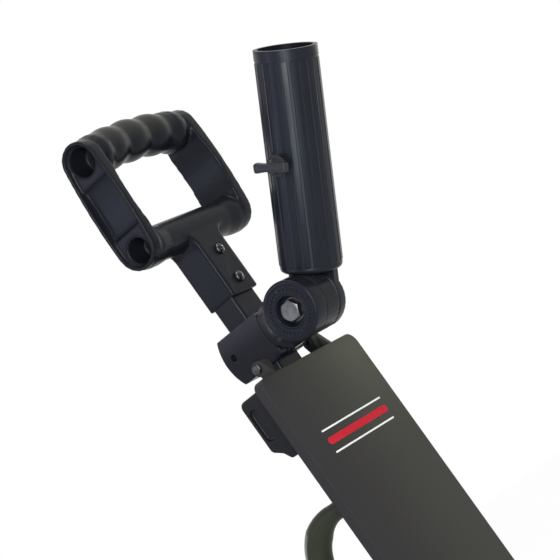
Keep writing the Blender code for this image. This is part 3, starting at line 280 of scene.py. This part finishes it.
nylon_black = (0.0062, 0.0067, 0.0090)
handle_skin = moulding("handle_nylon", nylon_black, roughness=0.22, corner=0.0008)
handle_shape = softened("d_handle", voxel=0.00078, rounds=13)
grip_radius = 0.0142
grip_forward = 0.0050
grip_bow = 0.0048
grip_z = 0.4414
grip_half = 0.043
grip_fade = 0.006
bow_half = 0.056
finger_pitch = 0.0251
finger_shift = -0.0022
finger_depth = 0.0024
finger_soft = 0.05
finger_level = 0.88
finger_last = 0.0305
finger_fade = 0.010
skin_depth = 0.0032
for vert in handle_shape.verts:
    bow = grip_bow * (1 - (vert.co.x / bow_half) ** 2)
    centre = Vector((vert.co.x, -grip_forward, grip_z + bow))
    out = vert.co - centre
    inside = min((grip_half - abs(vert.co.x)) / grip_fade, 1.0)
    if inside > 0 and abs(out.length - grip_radius) < skin_depth:
        wave = math.cos(math.pi * (vert.co.x - finger_shift) / finger_pitch)
        last = min(max((abs(vert.co.x) - finger_last) / finger_fade, 0.0), 1.0)
        swell = (math.sqrt(wave ** 2 + finger_soft) - finger_level) * (1 - last)
        round_place = centre + out.normalized() * (grip_radius + finger_depth * swell)
        vert.co = vert.co.lerp(round_place, inside)

core_floor = -0.0565
core_low = 0.3875
core_high = 0.4256
core_sag = 0.0011
for vert in handle_shape.verts:
    along = (2 * vert.co.z - core_low - core_high) / (core_high - core_low)
    if abs(vert.co.x - core_floor) < core_sag / 2 and abs(along) < 1:
        vert.co.x += core_sag * (1 - along ** 2)
piece("handle_moulding", handle_shape, "frame", handle_skin, "moulded_black", "d_handle")

# Painted light: the top of the grip is painted paler, standing for the light that falls on it from
# above.
grip_top_painted_light = (0.0300, 0.0312, 0.0262)
grip_light_low = grip_z - grip_radius / 2
grip_light_high = grip_z + grip_radius * 1.4
sideways = handle_skin.node("Math", {"operation": "ABSOLUTE"}, {0: handle_skin.place("X")})
grip_top_lit = handle_skin.band(sideways, low=grip_half, high=grip_half - 2 * grip_fade)
grip_top_lit = grip_top_lit * handle_skin.band(handle_skin.place("Z"), low=grip_light_low, high=grip_light_high)
handle_skin.feed({"Base Color": handle_skin.mix(grip_top_lit, handle_skin.base, grip_top_painted_light)})
coat(moulding("plug_nylon", nylon_black, roughness=0.46, corner=0.0006), "shaft_end_plug")


# Tapping screws: blackened steel pan heads with a cross recess, driven into the shaft and the saddle.
# Two hold the handle, two the strut's elbow and four the tray.

def facing(place, direction, spin=0.0):
    """The matrix that takes +Z at the origin to a direction at a place, after a spin about Z."""
    turn = Vector(direction).to_track_quat("Z", "Y").to_matrix().to_4x4()
    return Matrix.Translation(place) @ turn @ Matrix.Rotation(spin, 4, "Z")


def welded(bm):
    """A mesh with its doubled points joined and its faces turned outwards."""
    bmesh.ops.remove_doubles(bm, verts=bm.verts, dist=weld_distance)
    bmesh.ops.recalc_face_normals(bm, faces=bm.faces)
    return bm


def spun(profile, steps, matrix):
    """A profile of (radius, height) points turned about +Z, then placed by a matrix."""
    bm = bmesh.new()
    rings = []
    for radius, height in profile:
        count = steps if radius > 0 else 1
        ring = []
        for i in range(count):
            turn = 2 * math.pi * i / steps
            ring.append(bm.verts.new((radius * math.cos(turn), radius * math.sin(turn), height)))
        rings.append(ring)
    for low, high in zip(rings, rings[1:]):
        for i in range(steps):
            near, far = i, i + 1
            loop = [low[near % len(low)], low[far % len(low)]]
            loop += [high[far % len(high)], high[near % len(high)]]
            corners = list(dict.fromkeys(loop))
            if len(corners) > 2:
                bm.faces.new(corners)
    welded(bm)
    bmesh.ops.transform(bm, matrix=matrix, verts=bm.verts)
    return bm


def block(size, matrix, taper=1.0):
    """A box on the origin's plane, narrowed towards its far end, then placed by a matrix."""
    bm = bmesh.new()
    bmesh.ops.create_cube(bm, size=1.0)
    for vert in bm.verts:
        narrow = taper if vert.co.z > 0 else 1.0
        x, y, z = vert.co
        vert.co = (x * size[0] * narrow, y * size[1] * narrow, (z + 0.5) * size[2])
    bmesh.ops.transform(bm, matrix=matrix, verts=bm.verts)
    return bm


def carved(bm, cutter, operation="DIFFERENCE"):
    """One closed mesh cut by another, or kept only inside it."""
    objects = []
    for name, shape in (("carved", bm), ("cutter", cutter)):
        objects.append(bpy.data.objects.new(name, mesh_of(shape, name)))
        bpy.context.scene.collection.objects.link(objects[-1])
    step = objects[0].modifiers.new("carve", "BOOLEAN")
    step.operation = operation
    step.solver = "EXACT"
    step.object = objects[1]
    bpy.context.view_layer.update()
    result = bmesh.new()
    result.from_object(objects[0], bpy.context.evaluated_depsgraph_get())
    for spent in objects:
        bpy.data.objects.remove(spent, do_unlink=True)
    return result


def merged(*shapes):
    """Several closed meshes as one."""
    result = bmesh.new()
    for shape in shapes:
        mesh = mesh_of(shape, "merged")
        result.from_mesh(mesh)
        bpy.data.meshes.remove(mesh)
    return result


oxide_deep = (0.034, 0.034, 0.039)
oxide_pale = (0.078, 0.075, 0.078)
steel_bright = (0.45, 0.45, 0.47)
steel_corner = 0.0003
steel_wear = 0.0004
line_depth = 0.00008


def black_steel():
    """Blackened steel: dark oxide, rubbed bright on its corners, with fine turning marks."""
    metal = Finish("blackened_steel", {"Metallic": 1.0})
    cloud = metal.noise(scale=160.0, detail=4.0)
    lines = metal.noise(scale=900.0, stretch=(1, 0.2, 1))
    worn = metal.band(metal.corners(steel_wear) * (0.5 + cloud), low=0.03, high=0.25)
    oxide = metal.mix(cloud, oxide_deep, oxide_pale)
    metal.feed({
        "Base Color": metal.mix(worn, oxide, steel_bright),
        "Roughness": 0.26 + cloud * 0.16,
        "Normal": metal.bump(lines, 0.15, line_depth, metal.rounded(steel_corner)),
    })
    return metal


screw_steel = black_steel()
screw_sides = 28
pan_height = 0.0026
pan_crown = 0.8
crown_steps = 7
screw_shank = 0.00175
screw_root = screw_shank * 0.8
screw_point = screw_shank * 2
thread_pitch = 0.0012
recess_length = 0.0046
recess_width = 0.0011
recess_depth = 0.0017
recess_taper = 0.55
recess_proud = 0.0002


def tapping_screw(node, side, spin):
    """A pan-head screw in place of a CAD one; side is the way that its head faces along Y."""
    low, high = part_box(node)
    head = (high[0] - low[0]) / 2
    length = high[1] - low[1]
    face = low[1] if side < 0 else high[1]
    top = Vector(((low[0] + high[0]) / 2, face, (low[2] + high[2]) / 2))
    profile = []
    for step in range(crown_steps + 1):
        turn = math.radians(90 * step / crown_steps)
        profile.append((head * math.sin(turn), pan_height * (1 - math.cos(turn)) * pan_crown))
    profile += [(head, pan_height), (screw_shank, pan_height)]
    for thread in range(int((length - pan_height - screw_point) / thread_pitch)):
        foot = pan_height + thread_pitch * (thread + 0.5)
        profile += [(screw_root, foot), (screw_shank, foot + thread_pitch / 2)]
    profile += [(screw_root, length - screw_point), (0, length)]
    shape = spun(profile, screw_sides, facing(top, (0, -side, 0), spin))
    proud = top + Vector((0, side * recess_proud, 0))
    for arm in (0.0, math.pi / 2):
        slit = facing(proud, (0, -side, 0), spin + arm)
        shape = carved(shape, block((recess_length, recess_width, recess_depth), slit, recess_taper))
    piece(node + "_cross_head", shape, "frame", screw_steel, "black_steel", node)


for number, spin in ((1, 0.5), (2, 1.0)):
    tapping_screw(f"handle_screw_{number}", -1, spin)
    tapping_screw(f"strut_screw_{number}", 1, spin)
tray_screw_spin = 0.4
for number in range(1, 5):
    tapping_screw(f"tray_screw_{number}", -1, tray_screw_spin * number)


# Clamp: a split block in black nylon whose web ends in a round barrel for the tilt joint.
# A blackened cap screw in its back draws the split together round the shaft.
# Its upper half is painted paler, as painted light from above.

clamp_skin = moulding("clamp_nylon", nylon_black, roughness=0.20, corner=0.0005)
clamp_shape = softened("clamp_body", voxel=0.0005, rounds=6)
piece("clamp_moulding", clamp_shape, "frame", clamp_skin, "moulded_black", "clamp_body")
coat(screw_steel, "clamp_screw")

clamp_low, clamp_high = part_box("clamp_body")
clamp_middle = (clamp_low[2] + clamp_high[2]) / 2
# Painted light: the upper half of the clamp is painted paler, where more light falls on it.
clamp_painted_light = (0.0210, 0.0200, 0.0250)
clamp_light_low = clamp_middle - 0.003
clamp_light_high = clamp_middle + 0.014
clamp_upper_lit = clamp_skin.band(clamp_skin.place("Z"), low=clamp_light_low, high=clamp_light_high)
clamp_skin.feed({"Base Color": clamp_skin.mix(clamp_upper_lit, clamp_skin.base, clamp_painted_light)})


def joint_place(name):
    """Where a joint of the frame is."""
    return Vector(next(joint["pos_m"] for joint in frame["joints"] if joint["name"] == name))


pivot = joint_place("umbrella_tilt")
disc_low, disc_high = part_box("front_disc")
disc_radius = (disc_high[2] - disc_low[2]) / 2
fillet_inner = disc_radius + 0.0004
fillet_outer = disc_radius + 0.0083
fillet_left = clamp_low[0] + 0.0006
fillet_floor = disc_high[0] - 0.0045
fillet_back = disc_high[0]
fillet_root = fillet_back + 0.0008
fillet_half = math.radians(40)
fillet_steps = 14
fillet_run_out = 0.50


def lofted(bm, rows, capped=True):
    """Faces between rows of points that each go once round, and at both ends."""
    for low, high in zip(rows, rows[1:]):
        for i in range(len(low)):
            after = (i + 1) % len(low)
            bm.faces.new((low[i], low[after], high[after], high[i]))
    if capped:
        bm.faces.new(rows[0])
        bm.faces.new(rows[-1])


def neck_fillet():
    """The hollow that runs from the block's left face into the barrel, as a swept band."""
    bm = bmesh.new()
    rows = []
    for i in range(2 * fillet_steps + 1):
        share = i / fillet_steps - 1
        turn = fillet_half * share
        near = min((1 - abs(share)) / fillet_run_out, 1.0)
        full = near * near * (3 - 2 * near)
        section = []
        for j in range(fillet_steps + 1):
            inward = j / fillet_steps
            radius = fillet_outer + (fillet_inner - fillet_outer) * inward
            hollow = (fillet_floor - fillet_left) * math.sin(math.pi / 2 * inward)
            depth = fillet_back - fillet_left - hollow
            section.append((radius, fillet_back - depth * full))
        section += [(fillet_inner, fillet_root), (fillet_outer, fillet_root)]
        row = []
        for radius, x in section:
            y = pivot.y + radius * math.cos(turn)
            z = pivot.z + radius * math.sin(turn)
            row.append(bm.verts.new((x, y, z)))
        rows.append(row)
    lofted(bm, rows)
    return welded(bm)


piece("clamp_neck", neck_fillet(), "frame", clamp_skin, "moulded_black")


# Tilt joint: a moulded disc with a sunk zinc-plated bolt on the left of the barrel.
# Washers, a fibre ring and a lock nut on the far side set how stiffly the holder turns.

inwards = (1, 0, 0)
outwards = (-1, 0, 0)
disc_depth = disc_high[0] - disc_low[0]
disc_front = Vector((disc_low[0], pivot.y, pivot.z))
disc_sides = 72
disc_bore = 0.0043
disc_recess = 0.01025
disc_sunk = 0.0075
recess_edge = 0.0003
recess_edge_depth = 0.0004
face_step = 0.0007
lip = 0.0010
rim = 0.0026
rim_round = [(0.0013, 0), (0.0005, 0.0003), (0.0001, 0.0009), (0, 0.0016)]
disc_profile = [
    (disc_bore, disc_depth), (disc_bore, disc_sunk), (disc_recess, disc_sunk),
    (disc_recess, recess_edge_depth), (disc_recess + recess_edge, 0), (disc_recess + lip, 0),
    (disc_recess + lip + face_step, face_step), (disc_radius - rim - face_step, face_step),
    (disc_radius - rim, 0),
]
disc_profile += [(disc_radius - inset, depth) for inset, depth in rim_round]
disc_profile += [(disc_radius, disc_depth), (disc_bore, disc_depth)]
disc_shapes = [spun(disc_profile, disc_sides, facing(disc_front, inwards))]

tick_count = 36
tick_lengths = (0.0030, 0.0018, 0.0018)
tick_width = 0.0009
tick_height = face_step * 1.8
tick_root = face_step * 1.2
tick_taper = 0.70
tick_margin = 0.0012
tick_middle = (disc_recess + disc_radius - tick_margin) / 2
for tick in range(tick_count):
    turn = 2 * math.pi * tick / tick_count
    out = Vector((0, math.cos(turn), math.sin(turn)))
    stand = facing(disc_front + out * tick_middle + Vector((tick_root, 0, 0)), outwards)
    across = stand.to_3x3().inverted() @ out
    stand = stand @ Matrix.Rotation(math.atan2(across.y, across.x), 4, "Z")
    tick_length = tick_lengths[tick % len(tick_lengths)]
    disc_shapes.append(block((tick_length, tick_width, tick_height), stand, tick_taper))
disc_black = (0.0080, 0.0085, 0.0124)
# The disc's corners are painted paler than the other mouldings', as a painted highlight along its rim.
disc_skin = moulding("disc_nylon", disc_black, roughness=0.19, corner=0.0004, rub_and_highlight=3.0)
piece("disc_with_ticks", merged(*disc_shapes), "frame", disc_skin, "moulded_black", "front_disc")

zinc_blue = (0.122, 0.122, 0.129)
zinc_yellow = (0.142, 0.138, 0.127)
zinc_dull = (0.082, 0.082, 0.087)
zinc_corner = 0.0003
ring_depth = 0.00006
ring_rate = 16000.0


def zinc_plate():
    """Bright zinc plate: tumbled, faintly yellow and blue, with turning rings about the bolt."""
    metal = Finish("zinc_plate", {"Metallic": 1.0})
    cloud = metal.noise(scale=220.0, detail=5.0)
    tint = metal.noise(scale=90.0)
    up = metal.place("Z") - pivot.z
    across = metal.place("Y") - pivot.y
    out = metal.node("Math", {"operation": "SQRT"}, {0: up * up + across * across})
    rings = metal.node("Math", {"operation": "SINE"}, {0: out * ring_rate})
    dull = metal.band(cloud, low=0.35, high=0.75)
    plate = metal.mix(tint, zinc_blue, zinc_yellow)
    metal.feed({
        "Base Color": metal.mix(dull, plate, zinc_dull),
        "Roughness": 0.28 + cloud * 0.22,
        "Normal": metal.bump(rings + cloud * 2.0, 0.20, ring_depth, metal.rounded(zinc_corner)),
    })
    return metal


zinc = zinc_plate()
across_flats = 0.013
across_corners = 2 * across_flats / math.sqrt(3)
hex_face = across_flats * 0.47
hex_reach = across_corners * 0.56
hex_chamfer = 0.30
hex_overrun = 1.1
hex_turning = 48
hex_spin = math.radians(56)
bolt_low, bolt_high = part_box("pivot_bolt")
bolt_front = Vector((bolt_low[0], pivot.y, pivot.z))
bolt_length = bolt_high[0] - bolt_low[0]
bolt_sides = 32
bolt_head = 0.0053
bolt_shank = 0.004
bolt_root = bolt_shank * 0.88
bolt_root_height = 0.0006
bolt_tip = bolt_shank * 0.85
bolt_pitch = 0.00125
bolt_turns = 10
shank_start = bolt_head * 0.8
thread_start = bolt_length * 0.7


def hexagon(start, height, direction):
    """A hexagon with its corners turned off at one end, as on a bolt head or a nut."""
    sides = [(0, 0), (across_corners / 2, 0), (across_corners / 2, height), (0, height)]
    turned_off = [(0, 0), (hex_face, 0), (hex_reach, height * hex_chamfer)]
    turned_off += [(hex_reach, height * hex_overrun), (0, height * hex_overrun)]
    prism = spun(sides, 6, facing(start, direction, hex_spin))
    return carved(prism, spun(turned_off, hex_turning, facing(start, direction)), "INTERSECT")


shank_profile = [(0, shank_start), (bolt_shank, shank_start), (bolt_shank, thread_start)]
for thread in range(bolt_turns):
    foot = thread_start + thread * bolt_pitch
    if foot + bolt_pitch < bolt_length:
        shank_profile += [(bolt_root, foot + bolt_root_height), (bolt_shank, foot + bolt_pitch)]
shank_profile += [(bolt_tip, bolt_length), (0, bolt_length)]
shank = spun(shank_profile, bolt_sides, facing(bolt_front, inwards))
bolt_shape = merged(hexagon(bolt_front, bolt_head, inwards), shank)
piece("hex_bolt", bolt_shape, "frame", zinc, "zinc", "pivot_bolt", sharp=20)

nut_low, nut_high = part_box("pivot_nut")
nut_end = Vector((nut_high[0], pivot.y, pivot.z))
nut_height = nut_high[0] - nut_low[0]
nut_bore = 0.0043
bore_overrun = -0.001
collar_sides = 48
collar_radius = 0.0058
collar_mouth = 0.0052
collar_height = nut_height * 0.25
collar_shoulder = collar_height * 0.4
nut_hex = hexagon(nut_end - Vector((collar_height, 0, 0)), nut_height - collar_height, outwards)
bore_profile = [(0, bore_overrun), (nut_bore, bore_overrun), (nut_bore, nut_height), (0, nut_height)]
nut_hex = carved(nut_hex, spun(bore_profile, bolt_sides, facing(nut_end, outwards)))
collar_profile = [
    (nut_bore, 0), (collar_mouth, 0), (collar_radius, collar_shoulder), (collar_radius, collar_height),
    (nut_bore, collar_height), (nut_bore, 0),
]
collar = spun(collar_profile, collar_sides, facing(nut_end, outwards))
piece("lock_nut", merged(nut_hex, collar), "frame", zinc, "zinc", "pivot_nut", sharp=20)
coat(zinc, "bolt_washer", "nut_washer")

fibre_deep = (0.030, 0.027, 0.023)
fibre_pale = (0.075, 0.066, 0.054)
fibre_corner = 0.0002
strand_depth = 0.0002
fibre = Finish("pressed_fibre", {"Specular IOR Level": 0.25})
strands = fibre.noise(scale=700.0, detail=6.0, stretch=(1, 0.25, 1))
fibre.feed({
    "Base Color": fibre.mix(strands, fibre_deep, fibre_pale),
    "Roughness": 0.70 + strands * 0.25,
    "Normal": fibre.bump(strands, 0.35, strand_depth, fibre.rounded(fibre_corner)),
})
coat(fibre, "friction_washer")


# Umbrella holder: a semi-gloss black tube moulded with its hub, ribbed along its length below a collar.
# A brass insert in its side boss takes the thumb screw.

gloss_grain = 0.08
holder_black = (0.0060, 0.0070, 0.0108)
holder_skin = moulding(
    "holder_gloss", holder_black, roughness=0.25, corner=0.0004, grain=gloss_grain, shine=0.15,
)
coat(holder_skin, "umbrella_holder")

screw_place = joint_place("thumb_screw_turn")
tube_foot = Vector((screw_place.x, pivot.y, pivot.z))
tube_way = (screw_place - tube_foot).normalized()
tube_radius = 0.0206
rib_count = 22
rib_half = 0.0023
rib_tops = (-0.8, -0.3, 0.3, 0.8)
rib_height = 0.00039
rib_root = tube_radius - 0.0003
rib_start = 0.0245
rib_end = 0.1584
rib_run_out = 0.0012


def tube_ribs():
    """Low ribs along the tube, run out to nothing at both ends."""
    bm = bmesh.new()
    stations = [
        (rib_start, 0.0), (rib_start + rib_run_out, 1.0), (rib_end - rib_run_out, 1.0), (rib_end, 0.0),
    ]
    for number in range(rib_count):
        middle = 2 * math.pi * (number + 0.5) / rib_count
        rows = []
        for along, rise in stations:
            top = tube_radius + rib_height * rise
            tops = [(share, top) for share in rib_tops]
            row = []
            for offset, radius in [(-1.0, rib_root), *tops, (1.0, rib_root)]:
                turn = middle + offset * rib_half / tube_radius
                row.append(bm.verts.new((radius * math.cos(turn), radius * math.sin(turn), along)))
            rows.append(row)
        lofted(bm, rows)
    bmesh.ops.recalc_face_normals(bm, faces=bm.faces)
    bmesh.ops.transform(bm, matrix=facing(tube_foot, tube_way), verts=bm.verts)
    return bm


piece("tube_ribs", tube_ribs(), "umbrella", holder_skin, "gloss_black")

brass_bright = (0.130, 0.093, 0.042)
brass_dull = (0.075, 0.053, 0.026)
brass_corner = 0.0002
brass = Finish("turned_brass", {"Metallic": 1.0})
brass_cloud = brass.noise(scale=300.0, detail=4.0)
brass_lines = brass.noise(scale=2500.0, detail=1.0, stretch=(1, 0.1, 0.1))
brass.feed({
    "Base Color": brass.mix(brass_cloud, brass_bright, brass_dull),
    "Roughness": 0.26 + brass_cloud * 0.2,
    "Normal": brass.bump(brass_lines, 0.2, line_depth, brass.rounded(brass_corner)),
})
coat(brass, "thread_insert")


# Thumb screw: a moulded tee on a threaded shank, with a soft pad at its tip inside the tube.
# Turning it pushes the pad against the umbrella's shaft.

tee_black = (0.0200, 0.0200, 0.0225)
tee_skin = moulding("tee_gloss", tee_black, roughness=0.15, corner=0.0005, grain=gloss_grain)
screw_low, screw_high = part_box("thumb_screw")
bar_length = 0.025
bar_width = 0.0080
bar_waist = 0.64
bar_thick = 0.0066
bar_square = 12
bar_stations = 32
bar_sides = 24
bar_middle = Vector((screw_low[0] + bar_thick / 2, screw_place.y, screw_place.z))
bar_way = Vector((1, 0, 0)).cross(tube_way)


def squared(value):
    """A sine or cosine drawn out towards a square."""
    return math.copysign(math.sqrt(abs(value)), value)


def tee_bar():
    """The tee's bar: a squared loft, thinner in its waist and rounded off at both ends."""
    bm = bmesh.new()
    rows = []
    for i in range(bar_stations + 1):
        along = -1 + 2 * i / bar_stations
        close = math.sqrt(max(0.0, 1 - along ** bar_square))
        width = bar_width / 2 * (bar_waist + (1 - bar_waist) * along ** 2) * close
        thick = bar_thick / 2 * close
        row = []
        for side in range(bar_sides):
            turn = 2 * math.pi * (side + 0.5) / bar_sides
            spot = bar_way * bar_length / 2 * along + tube_way * width * squared(math.cos(turn))
            spot += Vector((thick * squared(math.sin(turn)), 0, 0))
            row.append(bm.verts.new(bar_middle + spot))
        rows.append(row)
    lofted(bm, rows, capped=False)
    return welded(bm)


stem_sides = 40
stem_neck = 0.0038
stem_end = bar_thick + stem_neck
stem_tip = screw_high[0] - screw_low[0]
hub_radius = 0.0052
hub_root_radius = hub_radius * 0.8
hub_waist_radius = hub_radius * 0.85
hub_root = bar_thick * 0.4
hub_waist = bar_thick * 0.8
hub_full = bar_thick + 0.0006
flange_radius = 0.0070
flange_foot = stem_end - 0.0016
flange_back = stem_end - 0.0012
flange_edge = 0.0003
tee_shank = 0.003
tee_root = tee_shank * 0.84
tee_pitch = 0.0015
stem_profile = [
    (0, hub_root), (hub_root_radius, hub_root), (hub_waist_radius, hub_waist), (hub_radius, hub_full),
    (hub_radius, flange_foot), (flange_radius, flange_back), (flange_radius, stem_end - flange_edge),
    (flange_radius - flange_edge, stem_end), (tee_shank, stem_end),
]
for thread in range(int((stem_tip - stem_end) / tee_pitch)):
    foot = stem_end + tee_pitch * thread
    stem_profile += [(tee_root, foot + tee_pitch / 2), (tee_shank, foot + tee_pitch)]
stem_profile += [(tee_root, stem_tip), (0, stem_tip)]
stem_place = bar_middle - Vector((bar_thick / 2, 0, 0))
tee_stem = spun(stem_profile, stem_sides, facing(stem_place, inwards))
piece("tee_screw", merged(tee_bar(), tee_stem), "screw", tee_skin, "gloss_black", "thumb_screw")
rubber_black = (0.020, 0.019, 0.018)
coat(moulding("pad_rubber", rubber_black, roughness=0.62, corner=0.0004), "pressure_pad")


# Saddle: a black nylon block that straddles the shaft and carries the tray.
# Each side has an oblong recess that keeps its wall even.

saddle_black = (0.0100, 0.0100, 0.0113)
saddle_skin = moulding("saddle_nylon", saddle_black, roughness=0.20, corner=0.0005)
saddle_shape = softened("shaft_saddle", voxel=0.0006, rounds=5)
piece("saddle_moulding", saddle_shape, "frame", saddle_skin, "moulded_black", "shaft_saddle")


# Scorecard tray and lid: two shallow charcoal mouldings with a fine matt grain, hinged on two pins.
# The lid's upper right is painted paler as painted light, and three plain stripes are printed on its
# front.

matt_grain = 0.35
lid_charcoal = (0.0172, 0.0161, 0.0168)
# Painted light: a paler colour that the lid's front is lifted towards at its upper right, where the
# light falls more strongly.
lid_painted_light = (0.0630, 0.0638, 0.0496)
lid_light_below = 0.4
lid_skin = moulding(
    "lid_charcoal", lid_charcoal, roughness=0.44, corner=0.0016, rub_and_highlight=1.4, grain=matt_grain,
)
lid_low, lid_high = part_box("console_lid")
lid_middle = (lid_low[2] + lid_high[2]) / 2
# Painted light: paler towards the right edge, and paler again towards the top.
lid_lit_right = lid_skin.band(lid_skin.place("X"), low=lid_low[0], high=lid_high[0])
lid_lit_upper = lid_skin.band(lid_skin.place("Z"), low=lid_middle, high=lid_high[2])
lid_light = lid_lit_right * (lid_light_below + (1 - lid_light_below) * lid_lit_upper)
lid_skin.feed({"Base Color": lid_skin.mix(lid_light, lid_skin.base, lid_painted_light)})
coat(lid_skin, "console_lid")

tray_charcoal = (0.0160, 0.0160, 0.0168)
tray_skin = moulding(
    "tray_charcoal", tray_charcoal, roughness=0.46, corner=0.0008, rub_and_highlight=1.6, grain=matt_grain,
)
coat(tray_skin, "console_tray")

ink_film = 0.0001
ink_corner = 0.0001
ink_depth = 0.00005
ink_white = (0.78, 0.78, 0.76)
ink_red = (0.480, 0.008, 0.022)


def printed_ink(name, colour):
    """Pad-printed ink: thin, a little uneven, and rubbed through in specks."""
    ink = Finish(name, {"Specular IOR Level": 0.12})
    uneven = ink.noise(scale=260.0, detail=5.0)
    rubbed = ink.band(ink.noise(scale=1400.0, detail=3.0), low=0.66, high=0.78)
    full = ink.mix(uneven, colour, tuple(channel * 0.8 for channel in colour))
    ink.feed({
        "Base Color": ink.mix(rubbed * 0.6, full, lid_charcoal),
        "Roughness": 0.40 + uneven * 0.2,
        "Normal": ink.bump(uneven, 0.1, ink_depth, ink.rounded(ink_corner)),
    })
    return ink


print_middle = 0.203
print_right = 0.043
print_left = print_right - 0.080
broad_stripe = 0.0050
thin_stripe = 0.0012
stripe_spacing = 0.0080
stripe_steps = 10


def stripe(name, width, centre_z, colour):
    """One straight stripe of ink with round ends on the lid's front."""
    bm = bmesh.new()
    outline = []
    for side, end, start in ((1, print_right, 0), (-1, print_left, math.pi)):
        for i in range(stripe_steps + 1):
            turn = math.pi * (i / stripe_steps - 0.5) + start
            x = end - side * width / 2 + width / 2 * math.cos(turn)
            z = centre_z + width / 2 * math.sin(turn)
            outline.append(bm.verts.new((x, lid_low[1] - ink_film, z)))
    face = bm.faces.new(outline)
    back = bmesh.ops.extrude_face_region(bm, geom=[face])["geom"]
    sunk = [item for item in back if isinstance(item, bmesh.types.BMVert)]
    bmesh.ops.translate(bm, vec=(0, 2 * ink_film, 0), verts=sunk)
    bmesh.ops.recalc_face_normals(bm, faces=bm.faces)
    piece(name, bm, "lid", printed_ink(name + "_ink", colour), None)


stripe("upper_stripe", thin_stripe, print_middle + stripe_spacing, ink_white)
stripe("middle_stripe", broad_stripe, print_middle, ink_red)
stripe("lower_stripe", thin_stripe, print_middle - stripe_spacing, ink_white)
coat(screw_steel, "hinge_pin_left", "hinge_pin_right")


# Strut: a bent black horn on a base plate, screwed to the back of the shaft.
# Its end is cut off where the photograph ends.

elbow_black = (0.0205, 0.0222, 0.0148)
elbow_skin = moulding("elbow_nylon", elbow_black, roughness=0.26, corner=0.0006)
elbow_shape = softened("strut_elbow", voxel=0.0007, rounds=6)
piece("elbow_moulding", elbow_shape, "frame", elbow_skin, "moulded_black", "strut_elbow")


# Stage: a pale floor under the shaft's end, a white surround and soft studio lamps.
# The camera stands where the photograph was taken, rolled so that the handle leans to the left.

def shown(nodes):
    """One for the rays that meet plain white: the camera's own, reflected ones and clear ones."""
    kinds = ("Camera", "Glossy", "Transmission")
    direct, glossy, clear = (nodes.node("LightPath", {}, {}, f"Is {kind} Ray") for kind in kinds)
    return direct + glossy + clear


white = (1, 1, 1, 1)
floor_half = 8
floor_z = -0.001
floor_grey = (0.80, 0.80, 0.80, 1)
floor_white = 0.98
floor_finish = Finish("floor", {"Base Color": floor_grey, "Roughness": 0.9, "Specular IOR Level": 0.1})
floor_glow = floor_finish.node("Emission", {}, {"Color": white, "Strength": 1.0})
floor_face = Link(floor_finish, floor_finish.shader.outputs[0])
floor_share = shown(floor_finish) * floor_white
floor_both = floor_finish.node("MixShader", {}, {0: floor_share, 1: floor_face, 2: floor_glow})
floor_finish.fill(floor_finish.tree.nodes["Material Output"], {"Surface": floor_both})
floor_mesh = bpy.data.meshes.new("floor")
floor_signs = ((-1, -1), (1, -1), (1, 1), (-1, 1))
floor_corners = [(floor_half * x, floor_half * y, floor_z) for x, y in floor_signs]
floor_mesh.from_pydata(floor_corners, [], [(0, 1, 2, 3)])
floor_mesh.materials.append(floor_finish.material)
floor = bpy.data.objects.new("floor", floor_mesh)
bpy.context.scene.collection.objects.link(floor)

world = bpy.data.worlds.new("white_surround")
bpy.context.scene.world = world
world.use_nodes = True
world.node_tree.nodes.clear()
surround = Nodes(world.node_tree)
ambient = surround.node("Background", {}, {"Color": (1.0, 1.0, 0.97, 1), "Strength": 0.30})
backdrop = surround.node("Background", {}, {"Color": white, "Strength": 1.0})
blend = surround.node("MixShader", {}, {0: shown(surround), 1: ambient, 2: backdrop})
surround.fill(surround.tree.nodes.new("ShaderNodeOutputWorld"), {"Surface": blend})

camera_place = Vector((-1.2304, -0.8267, 0.1318))
camera_forward = Vector((0.8360, 0.5354, 0.1200)).normalized()
camera_roll = Vector((0.4976, -0.6475, -0.5772))
camera_up = camera_roll.cross(camera_forward).normalized()
camera_right = camera_forward.cross(camera_up)
camera_turn = Matrix((camera_right, camera_up, -camera_forward)).transposed().to_4x4()
camera_data = bpy.data.cameras.new("photo_camera")
camera_data.sensor_width = 36.0
camera_data.lens = 145.23
camera = bpy.data.objects.new("photo_camera", camera_data)
bpy.context.scene.collection.objects.link(camera)
camera.matrix_world = Matrix.Translation(camera_place) @ camera_turn
bpy.context.scene.camera = camera


def lamp(name, place, target, size, power, colour):
    """A square soft box aimed at a point."""
    data = bpy.data.lights.new(name, "AREA")
    data.size = size
    data.energy = power
    data.color = colour
    made = bpy.data.objects.new(name, data)
    bpy.context.scene.collection.objects.link(made)
    made.location = place
    made.rotation_mode = "QUATERNION"
    made.rotation_quaternion = (Vector(target) - Vector(place)).to_track_quat("-Z", "Y")


middle = (0.0, -0.03, 0.30)
handle_middle = (0.0, -0.03, 0.42)
tube_middle = (0.013, -0.09, 0.36)
plain_light = (1.0, 1.0, 1.0)
day_light = (1.0, 1.0, 0.96)
warm_light = (1.0, 0.99, 0.85)
yellow_light = (1.0, 1.0, 0.85)
cool_light = (0.78, 0.88, 1.0)
blue_light = (0.62, 0.68, 1.0)
lamp("top_soft_box", (0.05, -0.60, 1.4), middle, size=0.6, power=10.0, colour=warm_light)
lamp("edge_soft_box", (-1.25, -0.80, 0.48), middle, size=0.35, power=15.5, colour=plain_light)
lamp("low_soft_box", (-0.75, -0.40, 0.0), tube_middle, size=0.45, power=9.0, colour=cool_light)
lamp("left_soft_box", (-1.05, 0.68, 0.68), handle_middle, size=0.3, power=1.8, colour=blue_light)
lamp("right_soft_box", (1.45, -0.10, 0.45), middle, size=0.8, power=1.5, colour=yellow_light)
lamp("back_soft_box", (0.30, 1.5, 0.60), middle, size=0.8, power=8.0, colour=day_light)

bpy.context.scene.view_settings.view_transform = "Standard"
